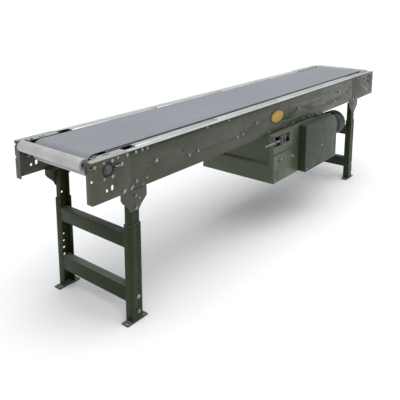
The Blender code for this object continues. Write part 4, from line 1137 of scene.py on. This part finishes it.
def sprocket(node, teeth, bore, hub, body):
    """Chain teeth with shaped flanks, and a hub. A large sprocket has a ring of lightening holes."""
    low, high = span(node)
    centre = middle(node)
    axis = (centre.x, centre.z)
    root, tip = pitch_radius(teeth) - 0.0051, (high.z - low.z) / 2
    rising = ((-0.34, root), (-0.20, root), (-0.09, tip - 0.0012), (-0.04, tip))
    tooth_shape = rising + tuple((-share, radius) for share, radius in reversed(rising))
    outline = []
    for tooth in range(teeth):
        base = 2 * math.pi * (tooth + 0.5) / teeth
        for share, radius in tooth_shape:
            angle = base + 2 * math.pi * (share + 0.5) / teeth
            outline.append((axis[0] + radius * math.cos(angle), axis[1] + radius * math.sin(angle)))
    bm = add_prism(bmesh.new(), outline, "XZ", low.y, high.y)
    near, far = low.y - 0.01, high.y + 0.01
    cutter = add_round_holes(bmesh.new(), [axis], near, far, bore, ROUND)
    if teeth > 20:
        add_round_holes(cutter, around(5, 0.042, axis), near, far, 0.0080, 24)
    piece(node + "_plate", bm, body, "shaft", node, cutter, edge=0.0004, segments=1)
    boss = [(bore, 0), (hub, 0), (hub, 0.0105), (hub - 0.001, 0.0115), (bore, 0.0115), (bore, 0)]
    turned(node + "_hub", body, "shaft", boss, (centre.x, high.y, centre.z), (0, 1, 0))


def drive_chain():
    """A roller chain: rollers and alternate inner and outer link plates along its tangent loop."""
    (ax, az, ar), (bx, bz, br) = [
        (middle(wheel[0]).x, middle(wheel[0]).z, pitch_radius(wheel[1])) for wheel in SPROCKETS
    ]
    slope, distance = math.atan2(bz - az, bx - ax), math.hypot(bx - ax, bz - az)
    taper = math.asin((br - ar) / distance)

    def rim(x, z, radius, angle):
        return Vector((x + radius * math.cos(angle), z + radius * math.sin(angle)))

    over, under = slope + math.pi / 2 + taper, slope - math.pi / 2 - taper
    upper = (rim(ax, az, ar, over), rim(bx, bz, br, over))
    lower = (rim(bx, bz, br, under), rim(ax, az, ar, under))
    straight = (upper[1] - upper[0]).length
    small_turn = (math.pi + 2 * taper) * br
    length = 2 * straight + (math.pi - 2 * taper) * ar + small_turn
    pins = 2 * round(length / CHAIN_PITCH / 2)

    def along(distance):
        if distance < straight:
            return upper[0].lerp(upper[1], distance / straight)
        distance -= straight
        if distance < small_turn:
            return rim(bx, bz, br, over - distance / br)
        distance -= small_turn
        if distance < straight:
            return lower[0].lerp(lower[1], distance / straight)
        return rim(ax, az, ar, under - (distance - straight) / ar)

    places = [along(length * i / pins) for i in range(pins)]
    across = middle("drive_chain").y
    pin = [(0, -0.0078), (0.0024, -0.0078), (0.0024, 0.0078), (0, 0.0078)]
    barrel = [(0.0026, -0.0044), (0.0050, -0.0044), (0.0050, 0.0044), (0.0026, 0.0044), (0.0026, -0.0044)]
    bm = bmesh.new()
    for i, here in enumerate(places):
        for profile, sides in ((pin, 10), (barrel, 14)):
            add_lathe(bm, profile, (here.x, across, here.y), (0, 1, 0), sides)
        there = places[(i + 1) % pins]
        link = there - here
        lean = math.degrees(math.atan2(link.y, link.x))
        outline = stadium((here + there) / 2, link.length + 0.0125, 0.0125, lean)
        offset = 0.0060 if i % 2 else 0.0046
        for sign in (-1, 1):
            near = across + sign * offset
            add_prism(bm, outline, "XZ", near, near + sign * 0.0012)
    piece("roller_chain", bm, "bed", "chain", "drive_chain")


def drive_pulley():
    """A rubber-lagged drum with herringbone grooves between steel end discs, on a shaft."""
    node = "drive_pulley"
    centre, radius = middle(node), radius_of(node)
    low, high = across_of(LOW[node].y), across_of(HIGH[node].y)
    face, shaft, lag = 0.178, 0.0175, 0.0065
    core = pulley_profile(radius - lag - 0.0001, shaft, -low, high, face)
    roller(node, node, "steel", core, name="drive_drum")
    points, rows, groove = 144, 28, 0.0018
    bm = bmesh.new()
    rings = []
    for row in range(rows + 1):
        share = row / rows
        crown = 0.0004 * (2 * share - 1) ** 2
        ring = []
        for i, (u, v) in enumerate(around(points, 1.0, start=abs(share - 0.5) * 0.9)):
            reach = radius - crown - (groove if i % 4 == 0 else 0.0)
            ring.append(bm.verts.new((centre.x + reach * u, 2 * face * share - face, centre.z + reach * v)))
        rings.append(ring)
    for across in (face, -face):
        circle = around(points, radius - lag, (centre.x, centre.z))
        rings.append([bm.verts.new((u, across, v)) for u, v in circle])
    add_skin(bm, rings, closed=True)
    bmesh.ops.recalc_face_normals(bm, faces=bm.faces)
    piece("drive_lagging", bm, node, "rubber", smooth=20)


def reducer():
    """A cast worm reducer with bolted side covers, cooling ribs, plugs and a motor flange."""
    node = "reducer_casing"
    piece(node + "_cast", cad_bmesh(node), "bed", "cast", node, edge=0.0016, segments=3)
    low, high = span(node)
    at, height = middle("reducer_sprocket").x, middle("reducer_sprocket").z
    worm_z, across = middle("motor_casing").z, middle("motor_casing").y
    cover = [
        (0.0185, 0), (0.0560, 0), (0.0560, 0.0030), (0.0545, 0.0045), (0.0300, 0.0052), (0.0280, 0.0085),
        (0.0200, 0.0090), (0.0185, 0.0080), (0.0185, 0),
    ]
    seal = [(0.0130, 0), (0.0184, 0), (0.0184, 0.0050), (0.0170, 0.0062), (0.0130, 0.0050), (0.0130, 0)]
    for word, side in SIDES:
        face, out = low.y if side < 0 else high.y, (0, side, 0)
        turned(f"reducer_cover_{word}", "bed", "cast", cover, (at, face, height), out)
        heads = around(6, 0.0475, (at, height), 0.3)
        rows = [(u, face + side * 0.0045, v, out, 0.0050) for u, v in heads]
        bolts(f"reducer_cover_bolts_{word}", "bed", rows)
        turned(f"reducer_seal_{word}", "bed", "rubber", seal, (at, face, height), out)
    bm = bmesh.new()
    for i in range(5):
        z = worm_z - 0.030 + 0.015 * i
        add_box(bm, (at - 0.066, across - 0.046, z - 0.0018), (at + 0.060, across + 0.046, z + 0.0018))
    piece("reducer_ribs", bm, "bed", "cast", edge=0.0010)
    back, flange = (-1, 0, 0), around(4, 0.066, (across, worm_z), math.pi / 4)
    rows = [(at + 0.076, v, w, back, 0.0066) for v, w in flange]
    rows += [(at - 0.0625, across, worm_z + step, back, 0.0090) for step in (-0.022, 0.026)]
    bolts("reducer_bolts_and_plugs", "bed", rows)
    roller("reducer_output_shaft", "reducer_output", "shaft", output_shaft_profile(), name="worm_wheel_shaft")


def output_shaft_profile():
    """The output shaft with the worm wheel on it, hollowed a little where the worm runs."""
    low, high = across_of(LOW["reducer_output_shaft"].y), across_of(HIGH["reducer_output_shaft"].y)
    across = middle("motor_casing").y
    shaft, wheel, half = 0.0125, 0.0465, 0.0155
    return [
        (0, low), (shaft - 0.001, low), (shaft, low + 0.001), (shaft, across - half), (wheel, across - half),
        (wheel - 0.0015, across), (wheel, across + half), (shaft, across + half), (shaft, high - 0.001),
        (shaft - 0.001, high), (0, high),
    ]


def motor():
    """A ribbed casing between two end bells, a fan cover with a grille, and a terminal box."""
    node = "motor_casing"
    low, high = span(node)
    centre = middle(node)
    outer = (high.z - low.z) / 2
    shell, bore = outer - 0.0085, 0.0125
    axis = (1, 0, 0)
    front_bell, rear_bell = low.x + 0.026, high.x - 0.020
    body = [
        (bore, low.x), (outer - 0.004, low.x), (outer - 0.001, low.x + 0.003),
        (outer - 0.001, front_bell - 0.003), (outer - 0.003, front_bell), (shell, front_bell + 0.001),
        (shell, rear_bell - 0.001),
        (outer - 0.003, rear_bell), (outer - 0.001, rear_bell + 0.003), (outer - 0.001, high.x - 0.003),
        (outer - 0.004, high.x), (bore, high.x), (bore, high.x - 0.009), (shell - 0.004, high.x - 0.009),
        (shell - 0.004, low.x + 0.012), (bore, low.x + 0.012), (bore, low.x),
    ]
    turned("motor_shell", "bed", "cast", body, (0, centre.y, centre.z), axis, 64, node)
    bm = bmesh.new()
    ribs = 40
    foot = (front_bell + 0.0015, -0.0013, shell - 0.001)
    tip = (rear_bell - 0.0015, 0.0013, outer - 0.0005)
    for i in range(ribs):
        angle = 2 * math.pi * (i + 0.5) / ribs
        if math.sin(angle) > 0.90:
            continue
        turn = Matrix.Translation((0, centre.y, centre.z)) @ Matrix.Rotation(angle - math.pi / 2, 4, "X")
        add_box(bm, foot, tip, turn)
    piece("motor_ribs", bm, "bed", "cast", edge=0.0006, segments=1)
    heads = around(4, outer - 0.011, (centre.y, centre.z), math.pi / 4)
    bolts("motor_tie_bolts", "bed", [(high.x - 0.0005, v, w, axis, 0.0052) for v, w in heads])
    fan_cover(centre)
    terminal_box()


def fan_cover(centre):
    """A rounded cup with three rings of holes in its end and four screws round its rim."""
    node = "fan_cover"
    low, high = span(node)
    outer, soft, wall, hub = (high.z - low.z) / 2, 0.012, 0.0016, 0.0105
    corner = (outer - soft, high.x - soft)
    profile = [
        (outer, low.x), *arc(corner, soft, 0, 90, 6), (hub, high.x), (hub, high.x - wall),
        *arc(corner, soft - wall, 90, 0, 6), (outer - wall, low.x), (outer, low.x),
    ]
    axis, along = (centre.y, centre.z), (1, 0, 0)
    bm = add_lathe(bmesh.new(), profile, (0, *axis), along, 64)
    cutter = bmesh.new()
    hole = [(0, 0), (0.0042, 0), (0.0042, 0.02), (0, 0.02)]
    for ring, (radius, count) in enumerate(((0.024, 8), (0.037, 12), (0.050, 16))):
        for place in around(count, radius, axis, math.pi / count * (ring % 2)):
            add_lathe(cutter, hole, (high.x - 0.01, *place), along, 12)
    piece("fan_cover_shell", bm, "bed", "black", node, cutter)
    rows = [
        (low.x + 0.010, axis[0] + outer * v, axis[1] + outer * w, (0, v, w), 0.0040, "pan")
        for v, w in around(4, 1.0, start=math.pi / 4)
    ]
    bolts("fan_cover_screws", "bed", rows)


def terminal_box():
    """The motor's terminal box: a body, an overlapping lid with screws, and a blanked cable gland."""
    node = "conduit_box"
    low, high = span(node)
    lid, rim, inset = high.y - 0.010, 0.0015, 0.010
    bm = add_box(bmesh.new(), (low.x + rim, low.y, low.z + rim), (high.x - rim, lid, high.z - rim))
    piece("terminal_box_body", bm, "bed", "black", node, edge=0.0040, segments=3)
    bm = add_box(bmesh.new(), (low.x, lid + 0.0004, low.z), high)
    piece("terminal_box_lid", bm, "bed", "black", edge=0.0030, segments=3)
    bolts("terminal_box_screws", "bed", [
        (u, high.y, v, (0, 1, 0), 0.0036, "pan")
        for u in (low.x + inset, high.x - inset) for v in (low.z + inset, high.z - inset)
    ])
    gland = [
        (0, 0), (0.0135, 0), (0.0135, 0.0045), (0.0120, 0.0050), (0.0120, 0.0100), (0.0105, 0.0120),
        (0, 0.0120),
    ]
    place = ((low.x + high.x) / 2, (low.y + lid) / 2, low.z + rim)
    turned("terminal_box_gland", "bed", "black", gland, place, (0, 0, -1), 8)


# Floor supports

LEG_HOLE_TOP = 0.416
LEG_HOLE_STEP = 0.0342
LEG_HOLE_COUNT = 9


def leg_section(at, width, outer, flange, side):
    """A leg channel in plan, its web outside and its flanges turned in."""
    half = width / 2
    path = [(at + half, outer - flange), (at + half, outer), (at - half, outer), (at - half, outer - flange)]
    return [(u, side * v) for u, v in folded(path, SHEET, 0.004)]


def pivot_plates():
    for end in ENDS:
        for word in ("front", "rear"):
            node = f"{end}_pivot_plate_{word}"
            piece(node + "_shell", cad_bmesh(node), "bed", "paint", node, edge=0.0005)


def supports():
    for end in ENDS:
        at = middle(end + "_lower_frame").x
        for word, side in SIDES:
            upper_leg(end, word, side)
            lower_leg(end, word, side, at)
        crossbars(end, at)
        support_bolts(end, at)


def upper_leg(end, word, side):
    node = f"{end}_upper_leg_{word}"
    low, high = span(node)
    outer, at = max(abs(low.y), abs(high.y)), (low.x + high.x) / 2
    outline = leg_section(at, high.x - low.x, outer, high.y - low.y, side)
    bm = add_prism(bmesh.new(), outline, "XY", low.z, high.z)
    holes = [(at + 0.004, LEG_HOLE_TOP - LEG_HOLE_STEP * i) for i in (-1, 5)]
    cutter = add_round_holes(bmesh.new(), holes, side * outer - 0.012, side * outer + 0.012, 0.0050)
    piece(node + "_channel", bm, end + "_upper_legs", "stand", node, cutter, edge=0.0004)


def lower_leg(end, word, side, at):
    """A lower leg with its row of height holes, its slotted foot plate and the welds between them."""
    node = end + "_lower_frame"
    low, high = span(node)
    foot_top, leg_top, width, flange = low.z + 0.006, 0.433, 0.063, 0.038
    outline = leg_section(at, width, WEB, flange, side)
    bm = add_prism(bmesh.new(), outline, "XY", foot_top - 0.0005, leg_top)
    holes = [(at + 0.004, LEG_HOLE_TOP - LEG_HOLE_STEP * i) for i in range(LEG_HOLE_COUNT)]
    holes += [(at - 0.006, 0.082)] if side > 0 else [(at + 0.004, 0.079)]
    cutter = add_round_holes(bmesh.new(), holes, side * WEB - 0.012, side * WEB + 0.012, 0.0055)
    piece(f"{end}_lower_leg_{word}", bm, node, "stand", node if side < 0 else (), cutter, edge=0.0004)
    half = (high.x - low.x) / 2
    bm = add_box(bmesh.new(), (at - half, side * (WEB - flange), low.z), (at + half, side * WEB, foot_top))
    cutter = bmesh.new()
    for sign in (-1, 1):
        slot = stadium((at + sign * (half - 0.0125), side * (WEB - flange / 2)), 0.017, 0.0105, 90)
        add_prism(cutter, slot, "XY", low.z - 0.01, foot_top + 0.01)
    piece(f"{end}_foot_{word}", bm, node, "stand", (), cutter, edge=0.0008)
    bm = bmesh.new()
    for u in (at - width / 2, at + width / 2):
        bead(bm, (u, side * (WEB - 0.005), foot_top), (u, side * (WEB - 0.036), foot_top))
    bead(bm, (at - 0.028, side * WEB, foot_top - 0.0005), (at + 0.028, side * WEB, foot_top - 0.0005), 0.0016)
    piece(f"{end}_foot_welds_{word}", bm, node, "stand", smooth=60)


def bead(bm, start, end, size=0.0026):
    """A weld bead: a string of flattened overlapping drops."""
    a, b = Vector(start), Vector(end)
    count = max(3, int((b - a).length / (1.1 * size)))
    for i in range(count + 1):
        place = Matrix.Translation(a.lerp(b, i / count))
        bmesh.ops.create_icosphere(bm, subdivisions=1, radius=size, matrix=place)


def crossbars(end, at):
    body = end + "_lower_frame"
    reach, start, flange = WEB - 0.0385, at - 0.0315, 0.040
    for word, (bottom, top) in (("lower", (0.090, 0.158)), ("upper", (0.329, 0.392))):
        path = [(start + flange, top), (start, top), (start, bottom), (start + flange, bottom)]
        bm = add_prism(bmesh.new(), folded(path, SHEET, 0.003), "XZ", -reach, reach)
        piece(f"{end}_crossbar_{word}", bm, body, "stand", edge=0.0004)
        bm = bmesh.new()
        for edge in (-reach, reach):
            web, top_face = start + 0.0006, top - 0.0006
            bead(bm, (web, edge, bottom + 0.004), (web, edge, top - 0.004), 0.0020)
            bead(bm, (start + 0.004, edge, top_face), (start + flange - 0.002, edge, top_face), 0.0020)
        piece(f"{end}_crossbar_welds_{word}", bm, body, "stand", smooth=60)


def support_bolts(end, at):
    """Pivot and gusset bolts stay with the bed; height bolts go with the lower frame."""
    heights = (0.112, 0.045) if end == "infeed" else (0.224, 0.112, 0.045)
    for word, side in SIDES:
        out, face = (0, side, 0), side * WEB
        rows = [(at + offset, face, BOTTOM + 0.0105, out, 0.0062, "round") for offset in SUPPORT_BOLTS]
        rows += [
            (at + 0.0015, face, 0.554, out, 0.0068), (at + 0.0225, face, 0.538, out, 0.0044, "round"),
            (at + 0.0045, face, 0.503, out, 0.0068),
        ]
        bolts(f"{end}_pivot_bolts_{word}", "bed", rows)
        rows = [(at + 0.004, face, height, out, 0.0076) for height in heights]
        bolts(f"{end}_height_bolts_{word}", end + "_lower_frame", rows)


# Nodes kept as they are


def carried_over():
    dress("motor_base", "paint")
    dress("motor_rotor", "shaft")
    dress("motor_fan", "black")


# Studio

# Angles in degrees, from the view along +Y. AIR and OVERHEAD are the strengths of the sky and of its sun.
FLOOR_RADIUS = 60.0
CAMERA_PLACE = (-1.195, -1.694, 1.374)
CAMERA_TURN = 51.51
CAMERA_DROP = 11.05
LENS = 48.16
SHIFT_Y = -0.275
AIR = 0.68
OVERHEAD = 2.0
OVERHEAD_SPREAD = 70
OVERHEAD_TILT = 12


def camera():
    """The picture's camera, placed from the infeed end, the bed's centre line and the floor."""
    data = bpy.data.cameras.new("camera")
    data.lens = LENS
    data.sensor_width = 36.0
    data.shift_y = SHIFT_Y
    data.clip_start, data.clip_end = 0.05, 200.0
    obj = bpy.data.objects.new("camera", data)
    obj.location = ORIGIN + Vector(CAMERA_PLACE)
    obj.rotation_euler = (math.radians(90 - CAMERA_DROP), 0, math.radians(-CAMERA_TURN))
    bpy.context.scene.collection.objects.link(obj)
    bpy.context.scene.camera = obj


def studio():
    bpy.context.scene.view_settings.view_transform = "Standard"
    world = bpy.data.worlds.new("studio_air")
    world.use_nodes = True
    air = world.node_tree.nodes["Background"]
    air.inputs["Color"].default_value = (0.96, 0.98, 1.0, 1.0)
    air.inputs["Strength"].default_value = AIR
    bpy.context.scene.world = world
    data = bpy.data.lights.new("overhead", "SUN")
    data.energy = OVERHEAD
    data.angle = math.radians(OVERHEAD_SPREAD)
    overhead = bpy.data.objects.new("overhead", data)
    overhead.rotation_euler = (math.radians(OVERHEAD_TILT), 0, 0)
    bpy.context.scene.collection.objects.link(overhead)
    bm = bmesh.new()
    bmesh.ops.create_circle(bm, cap_ends=True, segments=96, radius=FLOOR_RADIUS)
    bmesh.ops.translate(bm, vec=(0, 0, FLOOR_Z - 0.0005), verts=bm.verts)
    mesh = bpy.data.meshes.new("studio_floor")
    bm.to_mesh(mesh)
    bm.free()
    mesh.materials.append(backdrop())
    floor = bpy.data.objects.new("studio_floor", mesh)
    bpy.context.scene.collection.objects.link(floor)


def build():
    side_channels()
    web_bolts()
    end_brackets()
    edge_strips()
    slider_pan()
    cross_members()
    name_plate()
    conveyor_belt()
    rollers()
    end_bearings()
    drive_side_plates()
    take_ups()
    drive_belly_pan()
    chain_guard()
    for wheel in SPROCKETS:
        sprocket(*wheel)
    drive_chain()
    drive_pulley()
    reducer()
    motor()
    pivot_plates()
    supports()
    carried_over()


camera()
studio()
build()
